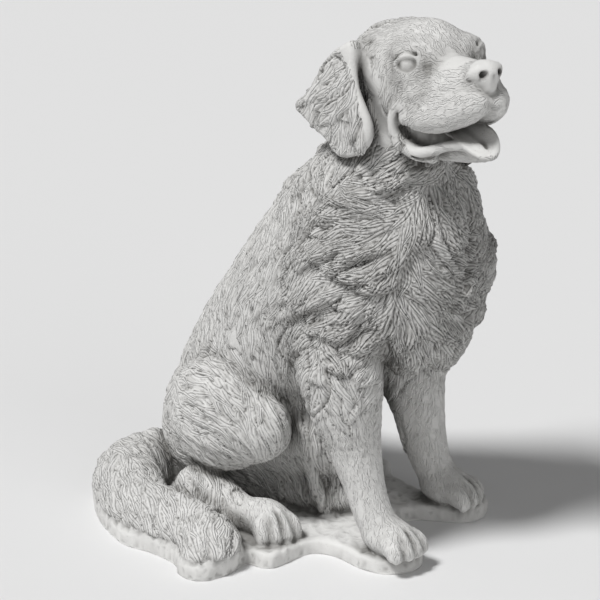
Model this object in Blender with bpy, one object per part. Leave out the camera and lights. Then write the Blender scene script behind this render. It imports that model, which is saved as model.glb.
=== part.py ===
"""A long-haired dog sitting on its tail side, cast in stone in one piece with its thin base.

Metres, +Z up. The dog faces +X, and +Y is its left. The origin is under the middle of the base.
"""

import bmesh
import bpy
import numpy as np

# Driving sizes, in metres
FIGURE_HEIGHT = 0.680
BASE_THICKNESS = 0.020
LOCK_LENGTH = 0.085
LOCK_WIDTH = 0.030
LOCK_DEPTH = 0.0075
SAMPLE_STEP = 0.0045

# The figure is sculpted in shares of its own height, counted as units of one 680th
UNITS_HIGH = 680
UNIT = FIGURE_HEIGHT / UNITS_HIGH
BASE_UNITS = BASE_THICKNESS / UNIT
TRIANGLES = 9600
REACH = 40.0
STONE_COLOUR = (0.62, 0.61, 0.58, 1.0)
STONE_ROUGHNESS = 0.9


def turned(roll=0.0, pitch=0.0, yaw=0.0):
    """A turn matrix in degrees: roll about X, then nose up about Y, then yaw about Z."""
    r, p, y = np.radians([roll, -pitch, yaw])
    about_x = np.array([[1, 0, 0], [0, np.cos(r), -np.sin(r)], [0, np.sin(r), np.cos(r)]])
    about_y = np.array([[np.cos(p), 0, np.sin(p)], [0, 1, 0], [-np.sin(p), 0, np.cos(p)]])
    about_z = np.array([[np.cos(y), -np.sin(y), 0], [np.sin(y), np.cos(y), 0], [0, 0, 1]])
    return about_z @ about_y @ about_x


def open_curve(points, spans):
    """Points along a smooth open curve through the given points."""
    p = np.asarray(points, float)
    if spans < 2 or len(p) < 3:
        return p
    p = np.vstack([2 * p[0] - p[1], p, 2 * p[-1] - p[-2]])
    a, b, c, d = p[:-3], p[1:-2], p[2:-1], p[3:]
    rows = [blend_four(a, b, c, d, t) for t in np.arange(spans) / spans]
    return np.vstack([np.stack(rows, 1).reshape(-1, p.shape[1]), p[-2]])


def closed_curve(points, spans=4):
    """Points along a smooth closed curve through the given points."""
    p = np.asarray(points, float)
    a, b, c, d = np.roll(p, 1, 0), p, np.roll(p, -1, 0), np.roll(p, -2, 0)
    rows = [blend_four(a, b, c, d, t) for t in np.arange(spans) / spans]
    return np.stack(rows, 1).reshape(-1, p.shape[1])


def blend_four(a, b, c, d, t):
    """The point at t between b and c on the smooth curve through a, b, c and d."""
    square, cube = t * t, t * t * t
    bent = (2 * a - 5 * b + 4 * c - d) * square + (3 * b - a - 3 * c + d) * cube
    return 0.5 * (2 * b + (c - a) * t + bent)


def outline_distance(q, outline):
    """Distance in the plane from the points q to a closed outline, negative inside it."""
    best = np.full(len(q), 1e9)
    inside = np.zeros(len(q), bool)
    for a, b in zip(outline, np.roll(outline, -1, 0)):
        edge, away = b - a, q - a
        t = np.clip(away @ edge / (edge @ edge), 0, 1)
        best = np.minimum(best, ((away - t[:, None] * edge) ** 2).sum(1))
        above = (a[1] > q[:, 1]) != (b[1] > q[:, 1])
        rise = edge[1] if edge[1] else 1.0
        inside ^= above & (away[:, 0] < edge[0] * away[:, 1] / rise)
    return np.where(inside, -1, 1) * np.sqrt(best)


class Clay:
    """Clay kept as a signed distance at a set of points, negative inside it."""

    def __init__(self, points, depth=None):
        self.points = points.astype(np.float32)
        self.depth = np.full(len(points), REACH, np.float32) if depth is None else depth

    def local(self, origin, turn):
        """The same clay, with its shapes given in a moved and turned frame."""
        return Clay((self.points - np.asarray(origin, np.float32)) @ turn.astype(np.float32), self.depth)

    def near(self, low, high):
        """The points of a box that is wider all round than the shape by REACH."""
        return np.flatnonzero(((self.points > low - REACH) & (self.points < high + REACH)).all(1))

    def merge(self, near, value, blend, carve):
        """Adds a shape, or carves it away, with a rounded seam as wide as blend."""
        sign = -1 if carve else 1
        old = sign * self.depth[near]
        h = np.clip(0.5 + 0.5 * (value - old) / blend, 0, 1)
        self.depth[near] = sign * (value + (old - value) * h - blend * h * (1 - h))

    def egg(self, centre, radii, turn=None, blend=12, carve=False):
        """An ellipsoid."""
        centre, radii = np.array(centre, np.float32), np.array(radii, np.float32)
        near = self.near(centre - radii.max(), centre + radii.max())
        q = self.points[near] - centre
        if turn is not None:
            q = q @ turn.astype(np.float32)
        far = np.sqrt(((q / radii) ** 2).sum(1)) + 1e-6
        slope = np.sqrt(((q / radii**2) ** 2).sum(1)) + 1e-9
        self.merge(near, far * (far - 1) / slope, blend, carve)

    def chain(self, beads, blend=12, carve=False, spans=3):
        """A tapered tube with round ends, through beads of x, y, z and radius."""
        beads = open_curve(beads, spans).astype(np.float32)
        thick = beads[:, 3].max()
        near = self.near(beads[:, :3].min(0) - thick, beads[:, :3].max(0) + thick)
        q = self.points[near]
        value = np.full(len(near), 1e3, np.float32)
        for (*a, wide_a), (*b, wide_b) in zip(beads[:-1], beads[1:]):
            step = np.array(b) - np.array(a)
            away = q - np.array(a)
            t = np.clip(away @ step / max(step @ step, 1e-6), 0, 1)
            gap = np.sqrt(((away - t[:, None] * step) ** 2).sum(1))
            value = np.minimum(value, gap - (wide_a + (wide_b - wide_a) * t))
        self.merge(near, value, blend, carve)

    def plate(self, outline, across, low, high, rim, blend=12, lift=None):
        """A plate with a round rim. Its outline lies across one axis, and lift curves its faces."""
        outline = closed_curve(outline).astype(np.float32)
        flat = [axis for axis in range(3) if axis != across]
        box_low, box_high = np.full(3, low - 30.0), np.full(3, high + 30.0)
        box_low[flat], box_high[flat] = outline.min(0), outline.max(0)
        near = self.near(box_low, box_high)
        q = self.points[near]
        side = outline_distance(q[:, flat], outline) + rim
        rise = lift(q) if lift else 0
        face = np.abs(q[:, across] - rise - (low + high) / 2) - (high - low) / 2 + rim
        value = np.minimum(np.maximum(side, face), 0) + np.hypot(np.maximum(side, 0), np.maximum(face, 0))
        self.merge(near, (value - rim).astype(np.float32), blend, False)


# Where the parts of the figure are, in units, Z from the top of the base
HEAD_PLACE, HEAD_TURN = (179, -14, 627), turned(0, 13, -27)
EAR_PLACE = {-1: (-30, -82, 0), 1: (-34, 70, -30)}
EAR_YAW = 17
FOREPAW = {-1: (203, -90), 1: (180, 92)}
FORELEG_BACK = {-1: 0, 1: -24}
FORELEG_MORE = {-1: 0, 1: 3}
HINDLEG_BACK = {-1: 0, 1: -58}
SIDES = (-1, 1)

BASE_OUTLINE = [
    (-266, -60), (-256, -110), (-235, -146), (-194, -188), (-130, -227), (-83, -229), (-37, -240),
    (-14, -261), (16, -266), (33, -246), (34, -207), (42, -188), (64, -187), (78, -175), (86, -130),
    (96, -112), (124, -106), (170, -118), (205, -115), (227, -94), (229, -66), (212, -45), (165, -27),
    (135, -6), (125, 20), (140, 40), (150, 52), (176, 64), (205, 78), (217, 101), (212, 127), (194, 145),
    (160, 138), (125, 108), (84, 118), (52, 136), (40, 160), (0, 172), (-60, 172), (-120, 156),
    (-180, 118), (-228, 60), (-256, 0),
]
EAR_OUTLINE = [
    (19, 40), (0, 36), (-16, 28), (-41, 5), (-64, -17), (-92, -40), (-84, -49), (-67, -63), (-45, -81),
    (-26, -98), (-4, -102), (18, -96), (32, -82), (36, -64), (31, -44), (22, -18), (19, 10),
]
TONGUE_OUTLINE = [(-40, -17), (-10, -20), (18, -22), (36, -15), (43, 0),
                  (36, 15), (18, 22), (-10, 20), (-40, 17)]


def torso(clay):
    """The slanting back, the chest with its ruff and bib, the shoulders and the belly."""
    clay.chain([(-100, 0, 90, 102), (-50, 0, 179, 108), (5, 0, 260, 113), (74, 0, 352, 118),
                (118, -3, 440, 95), (144, -8, 505, 69), (155, -10, 560, 60)], 30)
    clay.egg((161, 0, 335), (84, 98, 110), None, 30)
    clay.egg((181, 4, 400), (66, 85, 80), None, 25)
    clay.egg((175, 0, 302), (65, 66, 63), turned(0, -15, 0), 22)
    clay.egg((202, 40, 350), (48, 49, 43), None, 16)
    clay.egg((184, 37, 446), (44, 48, 42), None, 18)
    for side in SIDES:
        clay.egg((108, side * 82, 335), (72, 46, 108), turned(0, -10, 0), 25)
        clay.egg((124, side * 98, 245), (52, 38, 80), turned(0, 12, 0), 20)
    clay.chain([(-70, 0, 62, 66), (45, 0, 110, 66)], 20)
    clay.chain([(-60, 0, 26, 60), (20, 0, 26, 50), (60, -2, 20, 34)], 16)
    for side in SIDES:
        clay.chain([(34, side * 58, 118, 12), (48, side * 54, 80, 9), (54, side * 46, 40, 8),
                    (64, side * 40, 6, 7)], 10)


def paw(clay, place, yaw):
    """A paw with four toes, each with its claw pad."""
    foot = clay.local((*place, 0), turned(0, 0, yaw))
    foot.egg((-6, 0, 20), (38, 29, 24), None, 10)
    for toe in (-1.5, -0.5, 0.5, 1.5):
        reach = 22 - 5 * abs(toe)
        turn = turned(0, -22, toe * 7)
        foot.egg((reach, toe * 15, 17), (19, 9.5, 14), turn, 5)
        foot.egg((reach + 9, toe * 16, 9), (10, 9, 9), turn, 4)
    for gap in (-1, 0, 1):
        foot.chain([(44, gap * 18, 6, 2), (34, gap * 16, 20, 2), (16, gap * 14, 32, 1.5)], 4, carve=True)


def foreleg(clay, side):
    """A straight foreleg from the elbow down to its paw."""
    back, more, foot = FORELEG_BACK[side], FORELEG_MORE[side], FOREPAW[side]
    clay.chain([(122 + back, side * 97, 230, 50), (131 + back, side * 97, 190, 46),
                (141 + back, side * 94, 145, 36 + more), (156 + back, side * 92, 90, 27 + more),
                (168 + back, side * 91, 55, 25 + more / 2), (foot[0] - 22, foot[1], 30, 25)], 14)
    paw(clay, foot, side * 10)


def hindleg(clay, side):
    """A folded hind leg: thigh, knee, and the foot laid along the base."""
    back = HINDLEG_BACK[side]
    clay.egg((-58 + back, side * 106, 140), (76, 50, 76), turned(0, 20, 0), 12)
    clay.egg((back, side * 112, 138), (52, 36, 46), turned(0, 10, 0), 18)
    clay.chain([(-75 + back, side * 125, 36, 34), (-10 + back, side * 130, 20, 24),
                (20 + back, side * 131, 18, 24)], 12)
    paw(clay, (38 + back, side * 132), side * 26)


def tail(clay):
    """The bushy tail, swept round the dog's right side."""
    clay.chain([(-178, -8, 8, 33), (-213, -48, 12, 44), (-211, -101, 4, 48), (-156, -159, 0, 46),
                (-95, -181, 0, 45), (-35, -189, 0, 43), (2, -212, -2, 41), (4, -238, -8, 28)], 14)


def head(clay):
    """The head, with its open mouth, in its own frame: the nose points along its X."""
    h = clay.local(HEAD_PLACE, HEAD_TURN)
    h.egg((-15, 0, -2), (90, 68, 61), turned(0, -6, 0), 14)
    h.egg((30, 0, 8), (54, 52, 50), None, 16)
    h.egg((18, 0, -34), (62, 60, 56), None, 16)
    h.chain([(50, 0, -16, 40), (84, 0, -18, 34), (120, 0, -17, 28), (146, 0, -13, 21)], 14)
    for side in SIDES:
        h.chain([(72, side * 24, 17, 8), (63, side * 38, 24, 8), (48, side * 49, 25, 7)], 18)
        h.egg((61, side * 42, 9), (13, 12, 13), turned(0, 0, -side * 30), 16)
        h.chain([(152, side * 13, -40, 19), (134, side * 19, -46, 21), (92, side * 33, -53, 23),
                 (60, side * 44, -54, 17), (44, side * 50, -54, 11)], 8)
        h.chain([(56, side * 54, -40, 5), (43, side * 59, -42, 6), (33, side * 60, -54, 6.5),
                 (28, side * 57, -74, 7), (34, side * 49, -92, 7), (50, side * 40, -103, 7),
                 (70, side * 31, -108, 6)], 6)
        h.egg((112, side * 20, -30), (44, 22, 30), turned(0, 0, -side * 12), 14)
    h.chain([(0, 0, -72, 46), (56, 0, -88, 28), (98, 0, -99, 17), (136, 0, -101, 13)], 12)
    for side in SIDES:
        h.chain([(34, side * 46, -92, 6), (52, side * 41, -99, 8), (74, side * 34, -97, 8),
                 (96, side * 25, -92, 7), (116, side * 18, -92, 6), (134, side * 10, -96, 6)], 6)
        h.chain([(42, side * 49, -74, 5), (56, side * 40, -84, 8), (78, side * 30, -83, 8),
                 (108, side * 17, -78, 6), (140, side * 6, -76, 6)], 3, carve=True)
        h.chain([(46, side * 57, -50, 2.5), (42, side * 57, -62, 3), (44, side * 53, -74, 3)], 4, carve=True)
    nose(h)
    tongue(h)
    for side in SIDES:
        eye(h, side)


def nose(h):
    """The nose, its nostrils, and the groove down the upper lip."""
    h.egg((158, 0, -5), (22, 21, 16), turned(0, 8, 0), 7)
    h.chain([(166, 0, -6, 13), (166, 0, -20, 9)], 5)
    for side in SIDES:
        h.chain([(168, side * 13, 1, 5), (160, side * 18, -3, 5), (154, side * 19, -8, 4)], 4)
        h.chain([(184, side * 10, -4, 3.4), (174, side * 11, -5, 3.8), (166, side * 12, -5, 3)], 2, carve=True)
        slit = [(174, side * 12, -10, 2.4), (166, side * 19, -14, 2.0), (154, side * 23, -12, 1.6)]
        h.chain(slit, 2, carve=True)
    h.chain([(180, 0, -8, 1.2), (178, 0, -20, 1.6), (176, 0, -30, 2)], 3, carve=True)
    h.chain([(177, 0, -31, 2), (174, 0, -45, 4), (165, 0, -60, 8), (150, 0, -70, 11)], 4, carve=True)


def tongue(h):
    """The tongue, cupped and hanging over the lower lip."""
    t = h.local((118, 0, -85), turned(26, -20, 0))
    t.plate(TONGUE_OUTLINE, 2, -4, 4, 4, 3,
            lift=lambda q: 0.014 * q[:, 1] ** 2 - 0.006 * np.maximum(q[:, 0], 0) ** 2)
    t.chain([(-30, 0, 6, 2.5), (10, 0, 5, 2.5), (28, 0, 0, 2)], 3, carve=True)


def eye(h, side):
    """A plain ball between two lids, with the fold of the brow above."""
    e = h.local((61, side * 44, 10), turned(0, 0, side * 40))
    e.egg((12, 0, 0), (9, 11, 9), None, 5, carve=True)
    e.egg((3, 0, 0), (9.5, 9.5, 9.5), None, 1)
    arc = np.radians(np.linspace(0, 180, 9))
    lids = ((5, 3, 14.5, 4, 13, 1.6, 5), (6, 6, 11.5, -2, 9.5, 3, 2.5), (5, 5, 11, -1, -7.5, 2.4, 5))
    for front, more, half, drop, high, thick, blend in lids:
        lid = [(front + more * np.sin(a), half * np.cos(a), drop + high * np.sin(a), thick) for a in arc]
        e.chain(lid, blend)


def ear(clay, side):
    """A hanging ear, blown back, with its hair."""
    h = clay.local(HEAD_PLACE, HEAD_TURN)
    e = h.local(EAR_PLACE[side], turned(0, 0, -side * EAR_YAW))
    e.plate(EAR_OUTLINE, 1, -7, 7, 7, 5,
            lift=lambda q: side * 8 * np.exp(-(q[:, 0] / 45) ** 2 - ((q[:, 2] + 40) / 60) ** 2))
    e.chain([(10, -side * 16, 26, 12), (-4, -side * 16, 6, 13)], 16)


def figure(points):
    """The whole casting: the dog and its base, before its hair is carved."""
    clay = Clay(points)
    torso(clay)
    for side in SIDES:
        foreleg(clay, side)
        hindleg(clay, side)
    tail(clay)
    clay.plate(BASE_OUTLINE, 2, -BASE_UNITS - 20, 0, 6, 8)
    head(clay)
    for side in SIDES:
        ear(clay, side)
    return clay.depth


# Strokes of the comb: a place, the way the hair lies there, and how shaggy it is, from 0 to 1
COMB = [
    (75, -80, 490, 0.2, -0.4, -0.9, 0.6), (50, -80, 440, 0.2, -0.5, -0.8, 0.5),
    (15, -65, 405, 0.2, -0.5, -0.8, 0.35), (-40, -60, 340, -0.2, -0.5, -0.8, 0.25),
    (-85, -60, 280, 0.1, -0.6, -0.7, 0.3), (-120, -55, 240, 0.2, -0.6, -0.7, 0.3),
    (-5, -95, 320, -0.5, 0.0, -0.8, 0.4), (40, -105, 360, -0.2, 0.0, -1.0, 0.6),
    (80, -125, 355, -0.5, 0.1, -0.9, 0.7), (35, -110, 310, -0.3, 0.1, -0.9, 0.6),
    (-25, -100, 260, 0.0, -0.1, -1.0, 0.4), (20, -105, 255, 0.1, 0.2, -1.0, 0.8),
    (45, -105, 260, -0.1, 0.2, -1.0, 0.8), (35, -90, 190, 0.0, 0.2, -1.0, 0.8),
    (195, -70, 450, -0.7, -0.5, -0.5, 0.8), (165, -90, 430, -0.8, -0.5, -0.3, 0.8),
    (185, -75, 460, -0.9, -0.5, 0.0, 0.8), (155, -95, 460, -0.9, -0.1, 0.2, 0.7),
    (180, -100, 390, -0.7, -0.5, -0.5, 0.8), (145, -120, 370, -1.0, -0.1, -0.2, 0.8),
    (160, -115, 350, -0.9, -0.3, -0.3, 0.7), (175, -105, 325, -0.6, -0.3, -0.7, 0.8),
    (155, -115, 300, -0.8, -0.5, -0.4, 0.7), (205, -65, 445, 0.1, -0.2, -1.0, 0.8),
    (200, -75, 435, -0.2, -0.4, -0.9, 0.8), (200, -85, 375, -0.3, -0.3, -0.9, 0.8),
    (220, -70, 355, 0.5, 0.9, -0.1, 0.9), (245, -30, 350, 0.1, 0.9, -0.4, 1.0),
    (225, -65, 345, 0.4, 0.8, -0.5, 1.0), (245, -30, 320, 0.1, 0.8, -0.6, 1.0),
    (220, -70, 340, 0.2, 0.3, -0.9, 1.0), (235, -50, 300, 0.0, 0.6, -0.8, 1.0),
    (215, -75, 330, -0.1, 0.1, -1.0, 0.9), (215, -70, 290, -0.4, 0.5, -0.8, 0.9),
    (190, -75, 265, -0.4, 0.6, -0.7, 0.8), (215, -60, 445, 0.4, 0.0, -0.9, 0.9),
    (230, -60, 405, 0.4, 0.8, -0.5, 1.0), (245, -30, 385, 0.1, 1.0, -0.2, 1.0),
    (225, -10, 465, 0.4, -0.1, -0.9, 0.8), (240, -15, 430, 0.2, 0.7, -0.7, 1.0),
    (210, -35, 495, -0.5, -0.8, -0.2, 0.8), (195, -65, 490, -0.7, -0.6, -0.5, 0.8),
    (180, -90, 285, -0.3, -0.8, -0.6, 0.5), (130, -135, 275, 0.8, 0.0, -0.6, 0.5),
    (175, -90, 250, -0.2, -0.9, -0.5, 0.4), (150, -140, 220, 0.5, 0.3, -0.8, 0.35),
    (180, -100, 210, -0.3, -0.7, -0.7, 0.3), (165, -130, 175, 0.2, 0.3, -0.9, 0.2),
    (170, -115, 115, 0.2, 0.1, -1.0, 0.06), (115, -125, 275, -0.9, 0.0, -0.5, 0.8),
    (110, -115, 220, -0.8, 0.0, -0.6, 0.7), (115, -100, 160, -0.7, 0.2, -0.7, 0.5),
    (-95, -130, 195, 1.0, -0.1, 0.2, 0.6), (-50, -130, 205, 0.9, 0.0, -0.4, 0.6),
    (-80, -145, 180, 1.0, 0.1, 0.1, 0.7), (-35, -140, 190, 0.8, -0.1, -0.6, 0.8),
    (-75, -155, 145, 1.0, 0.0, -0.1, 0.7), (-35, -155, 145, 0.9, 0.1, -0.4, 0.7),
    (-75, -155, 120, 0.9, 0.0, -0.4, 0.6), (-50, -155, 110, 0.5, 0.4, -0.7, 0.6),
    (5, -125, 185, 0.6, -0.4, -0.7, 0.6), (20, -130, 140, 0.3, 0.0, -0.9, 0.7),
    (-110, -140, 160, -0.1, 0.1, -1.0, 0.3), (-225, -110, 55, 0.9, -0.3, 0.0, 0.5),
    (-190, -120, 60, 0.8, 0.5, -0.4, 0.5), (-215, -135, 45, 0.1, -0.9, -0.5, 0.9),
    (-215, -155, 35, 0.6, -0.7, -0.4, 0.9), (-190, -150, 45, 0.6, -0.8, -0.2, 0.9),
    (-165, -190, 35, 0.7, -0.6, -0.4, 0.9), (-145, -160, 50, 0.6, -0.8, -0.2, 0.9),
    (-120, -200, 40, 0.7, -0.5, -0.5, 0.9), (-85, -195, 45, 0.7, -0.6, -0.4, 0.9),
    (-55, -220, 30, 0.5, -0.4, -0.7, 0.8), (-55, -175, 45, 0.4, -0.8, -0.4, 0.9),
    (-25, -235, 20, 0.8, -0.6, -0.3, 0.8), (-10, -195, 45, 0.4, -0.9, -0.3, 0.9),
    (125, -85, 645, -0.8, 0.1, -0.6, 0.8), (80, -80, 610, -0.6, 0.1, -0.8, 0.8),
    (95, -85, 590, -0.8, 0.2, -0.6, 0.8), (130, -95, 590, -0.5, 0.1, -0.9, 0.8),
    (140, -80, 570, 0.0, -0.4, -0.9, 0.8), (140, -85, 640, 0.3, -0.2, -0.9, 0.1),
    (145, -95, 600, 0.3, -0.2, -0.9, 0.2), (265, -70, 665, -1.0, 0.0, 0.2, 0.02),
    (220, -60, 680, -0.9, 0.5, 0.1, 0.04), (165, -45, 680, -0.9, 0.0, -0.4, 0.06),
    (265, -105, 630, -0.9, 0.3, -0.3, 0.06), (200, -80, 640, -0.8, 0.1, -0.6, 0.1),
    (175, -80, 600, -0.4, -0.1, -0.9, 0.2), (315, -110, 630, -0.9, 0.0, -0.4, 0.04),
    (285, -110, 595, -1.0, 0.0, -0.2, 0.04), (285, -80, 545, -1.0, 0.0, -0.1, 0.1),
    (-160, 0, 170, 0.0, 0.0, -1.0, 0.3), (-60, 0, 330, -0.6, 0.0, -0.8, 0.3),
    (40, 0, 460, -0.4, 0.0, -0.9, 0.5), (80, 0, 560, -0.2, 0.0, -1.0, 0.5),
]


def combed(points):
    """The way the hair lies at each point, and how shaggy it is, from the nearest strokes."""
    comb = np.array(COMB)
    other = comb * [1, -1, 1, 1, -1, 1, 1]
    strokes = np.vstack([comb, other[comb[:, 0] > -130]])
    total = np.zeros((len(points), 5))
    for *place, x, y, z, shag in strokes:
        weight = 1 / (((points - place) ** 2).sum(1) + 200) ** 2
        total += weight[:, None] * [x, y, z, shag, 1]
    total /= total[:, 4:]
    bare = (points[:, 2] < 5) | (points[:, 2] < 60) & (points[:, 0] > -20) & (points[:, 1] > -190)
    return total[:, :3], np.where(bare, 0, total[:, 3])


def surface(field, low, high, step, coarse=4):
    """A closed quad mesh around the clay, from a grid that is fine only near its surface."""
    count = np.ceil((high - low) / (step * coarse)).astype(int)
    rough = np.stack(np.meshgrid(*[low[i] + step * coarse * np.arange(count[i] + 1) for i in range(3)],
                                 indexing="ij"), -1)
    depth = field(rough.reshape(-1, 3)).reshape(count + 1)
    near = np.abs(depth) < step * coarse * 1.8
    corners = [(i, j, k) for i in (0, 1) for j in (0, 1) for k in (0, 1)]
    cell = np.zeros(count, bool)
    for i, j, k in corners:
        cell |= near[i:count[0] + i, j:count[1] + j, k:count[2] + k]
    fine = cell.repeat(coarse, 0).repeat(coarse, 1).repeat(coarse, 2)
    mask = np.zeros(count * coarse + 1, bool)
    for i, j, k in corners:
        mask[i:fine.shape[0] + i, j:fine.shape[1] + j, k:fine.shape[2] + k] |= fine
    values = np.full(mask.shape, REACH, np.float32)
    values[:-1, :-1, :-1] = depth[:-1, :-1, :-1].repeat(coarse, 0).repeat(coarse, 1).repeat(coarse, 2)
    values[mask] = field(low + np.argwhere(mask) * step)
    fill_pinches(values)
    return nets(values, low, step)


def fill_pinches(values):
    """Fills the grid points where the surface would touch itself along an edge or at a corner."""
    changed = True
    while changed:
        inside = values < 0
        fill = np.zeros_like(inside)
        for axis in range(3):
            u, v = [i for i in range(3) if i != axis]
            part = []
            for steps in ((0, 0), (1, 0), (0, 1), (1, 1)):
                cut = [slice(None)] * 3
                for i, forward in zip((u, v), steps):
                    cut[i] = slice(1, None) if forward else slice(0, -1)
                part.append(tuple(cut))
            a, b, c, d = part
            fill[b] |= inside[a] & inside[d] & ~inside[b] & ~inside[c]
            fill[a] |= ~inside[a] & ~inside[d] & inside[b] & inside[c]
        size = np.array(values.shape) - 1
        corners = [(i, j, k) for i in (0, 1) for j in (0, 1) for k in (0, 1)]
        part = {c: inside[tuple(slice(c[i], c[i] + size[i]) for i in range(3))] for c in corners}
        full = sum(part[c].astype(np.uint8) for c in corners)
        for c in corners[:4]:
            far = tuple(1 - i for i in c)
            apart = (full == 2) & part[c] & part[far] | (full == 6) & ~part[c] & ~part[far]
            for i, j, k in corners:
                fill[i:size[0] + i, j:size[1] + j, k:size[2] + k] |= apart
        fill &= ~inside
        values[fill] = -0.1
        changed = fill.any()


def nets(values, low, step):
    """Surface nets: one vertex in each cell that the surface passes, one face across each crossed edge."""
    inside = values < 0
    corners = np.array([(i, j, k) for i in (0, 1) for j in (0, 1) for k in (0, 1)])
    size = np.array(values.shape) - 1
    full = sum(inside[i:size[0] + i, j:size[1] + j, k:size[2] + k].astype(np.uint8) for i, j, k in corners)
    cells = np.argwhere((full > 0) & (full < 8))
    number = np.full(size, -1)
    number[tuple(cells.T)] = np.arange(len(cells))
    at = np.stack([values[tuple((cells + c).T)] for c in corners], 1)
    place, hits = np.zeros((len(cells), 3)), np.zeros(len(cells))
    for a in range(8):
        for b in range(a + 1, 8):
            if np.abs(corners[a] - corners[b]).sum() == 1:
                cross = (at[:, a] < 0) != (at[:, b] < 0)
                t = at[cross, a] / (at[cross, a] - at[cross, b])
                place[cross] += corners[a] + t[:, None] * (corners[b] - corners[a])
                hits[cross] += 1
    faces = []
    for axis in range(3):
        here, there = [slice(None)] * 3, [slice(None)] * 3
        here[axis], there[axis] = slice(0, -1), slice(1, None)
        leaves = inside[tuple(here)] & ~inside[tuple(there)]
        enters = ~inside[tuple(here)] & inside[tuple(there)]
        u, v = [i for i in range(3) if i != axis]
        for edges, flip in ((np.argwhere(leaves), axis == 1), (np.argwhere(enters), axis != 1)):
            ring = []
            for back_u, back_v in ((0, 0), (1, 0), (1, 1), (0, 1)):
                cell = edges.copy()
                cell[:, u] -= back_u
                cell[:, v] -= back_v
                ring.append(number[tuple(cell.T)])
            ring = np.stack(ring, 1)
            faces.append(ring[:, ::-1] if flip else ring)
    return low + (cells + place / hits[:, None]) * step, np.vstack(faces)


def normals_of(points, faces):
    """Smooth normals at the vertices of a quad mesh."""
    across = np.cross(points[faces[:, 2]] - points[faces[:, 0]], points[faces[:, 3]] - points[faces[:, 1]])
    total = np.zeros_like(points)
    for corner in range(4):
        np.add.at(total, faces[:, corner], across)
    return total / np.maximum(np.linalg.norm(total, axis=1, keepdims=True), 1e-9)


def unit_rows(rows):
    """The rows scaled to length one."""
    return rows / np.maximum(np.linalg.norm(rows, axis=1, keepdims=True), 1e-9)


def locks(points, normals, length, width, depth, spacing, seed):
    """How far locks of hair stand out at each vertex. They overlap like shingles and end in points."""
    way, shag = combed(points)
    way = unit_rows(way - normals * (way * normals).sum(1, keepdims=True))
    rng = np.random.default_rng(seed)
    order = rng.permutation(len(points))
    cells = np.floor(points[order] / spacing).astype(int)
    _, first = np.unique(cells, axis=0, return_index=True)
    seeds = order[np.sort(first)]
    seeds = seeds[shag[seeds] > 0.28]
    height = np.zeros(len(points))
    bins = np.floor(points / length).astype(int)
    bins -= bins.min(0) - 1
    shape = bins.max(0) + 2
    key = (bins[:, 0] * shape[1] + bins[:, 1]) * shape[2] + bins[:, 2]
    by_key = np.argsort(key, kind="stable")
    starts = np.searchsorted(key[by_key], np.arange(shape.prod() + 1))
    for seed_vertex, luck in zip(seeds, rng.random((len(seeds), 4))):
        size = 0.5 + 0.5 * shag[seed_vertex]
        long, half = length * size * (0.8 + 0.4 * luck[0]), width * size * (0.8 + 0.4 * luck[1]) / 2
        centre, along, up = points[seed_vertex], way[seed_vertex], normals[seed_vertex]
        side = np.cross(up, along)
        near = []
        for i in (-1, 0, 1):
            for j in (-1, 0, 1):
                row = ((bins[seed_vertex, 0] + i) * shape[1] + bins[seed_vertex, 1] + j) * shape[2]
                row += bins[seed_vertex, 2]
                near.append(by_key[starts[row - 1]:starts[row + 2]])
        near = np.concatenate(near)
        away = points[near] - centre
        s = away @ along / long + 0.5
        bend = (luck[2] - 0.5) * 0.9 * long * (s - 0.5) ** 2 + half * 0.5 * np.sin(7 * s + 6 * luck[3])
        reach = half * np.sqrt(np.clip(1 - s**2, 0, 1)) * np.clip(s * 5, 0.05, 1) ** 0.5
        t = (away @ side - bend) / (reach + 1e-6)
        good = (s > 0) & (s < 1) & (np.abs(t) < 1)
        good &= (np.abs(away @ up) < half * 2) & (normals[near] @ up > 0.2)
        s, t, near = s[good], t[good], near[good]
        rise = np.clip(s / 0.75, 0, 1) * np.clip((1 - s) / 0.12, 0, 1) ** 0.5
        value = depth * size * (1 - t**2) ** 0.5 * (0.3 + 0.7 * rise)
        height[near] = np.maximum(height[near], value)
    return height


def statue_mesh():
    """The finished casting as one closed mesh: combed, thinned out, and cut flat underneath."""
    step = SAMPLE_STEP / UNIT
    low, high = np.array([-290.0, -300, -BASE_UNITS - 40]), np.array([350.0, 210, 710])
    points, faces = surface(figure, low, high, step)
    normals = normals_of(points, faces)
    hair = locks(points, normals, LOCK_LENGTH / UNIT, LOCK_WIDTH / UNIT, LOCK_DEPTH / UNIT,
                 LOCK_WIDTH / UNIT, seed=4)
    points = points + normals * (hair - 0.4 * LOCK_DEPTH / UNIT * (hair > 0))[:, None]
    mesh = bpy.data.meshes.new("cast")
    mesh.from_pydata((points * UNIT + [0, 0, BASE_THICKNESS]).tolist(), [], faces.tolist())
    draft = bpy.data.objects.new("draft", mesh)
    bpy.context.scene.collection.objects.link(draft)
    thin = draft.modifiers.new("Fewer faces", "DECIMATE")
    thin.ratio = TRIANGLES / (2 * len(faces))
    cast = bmesh.new()
    cast.from_object(draft, bpy.context.evaluated_depsgraph_get())
    bpy.data.objects.remove(draft)
    whole = cast.verts[:] + cast.edges[:] + cast.faces[:]
    cut = bmesh.ops.bisect_plane(cast, geom=whole, plane_co=(0, 0, 0), plane_no=(0, 0, 1), clear_inner=True)
    rim = [part for part in cut["geom_cut"] if isinstance(part, bmesh.types.BMEdge)]
    bmesh.ops.holes_fill(cast, edges=rim, sides=0)
    bmesh.ops.triangulate(cast, faces=cast.faces[:])
    corners = np.array([vertex.co for vertex in cast.verts])
    middle = (corners.min(0) + corners.max(0)) / 2
    bmesh.ops.translate(cast, verts=cast.verts[:], vec=(-middle[0], -middle[1], 0))
    bmesh.ops.recalc_face_normals(cast, faces=cast.faces[:])
    mesh = bpy.data.meshes.new("dog_statue")
    cast.to_mesh(mesh)
    cast.free()
    mesh.shade_smooth()
    return mesh


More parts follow.
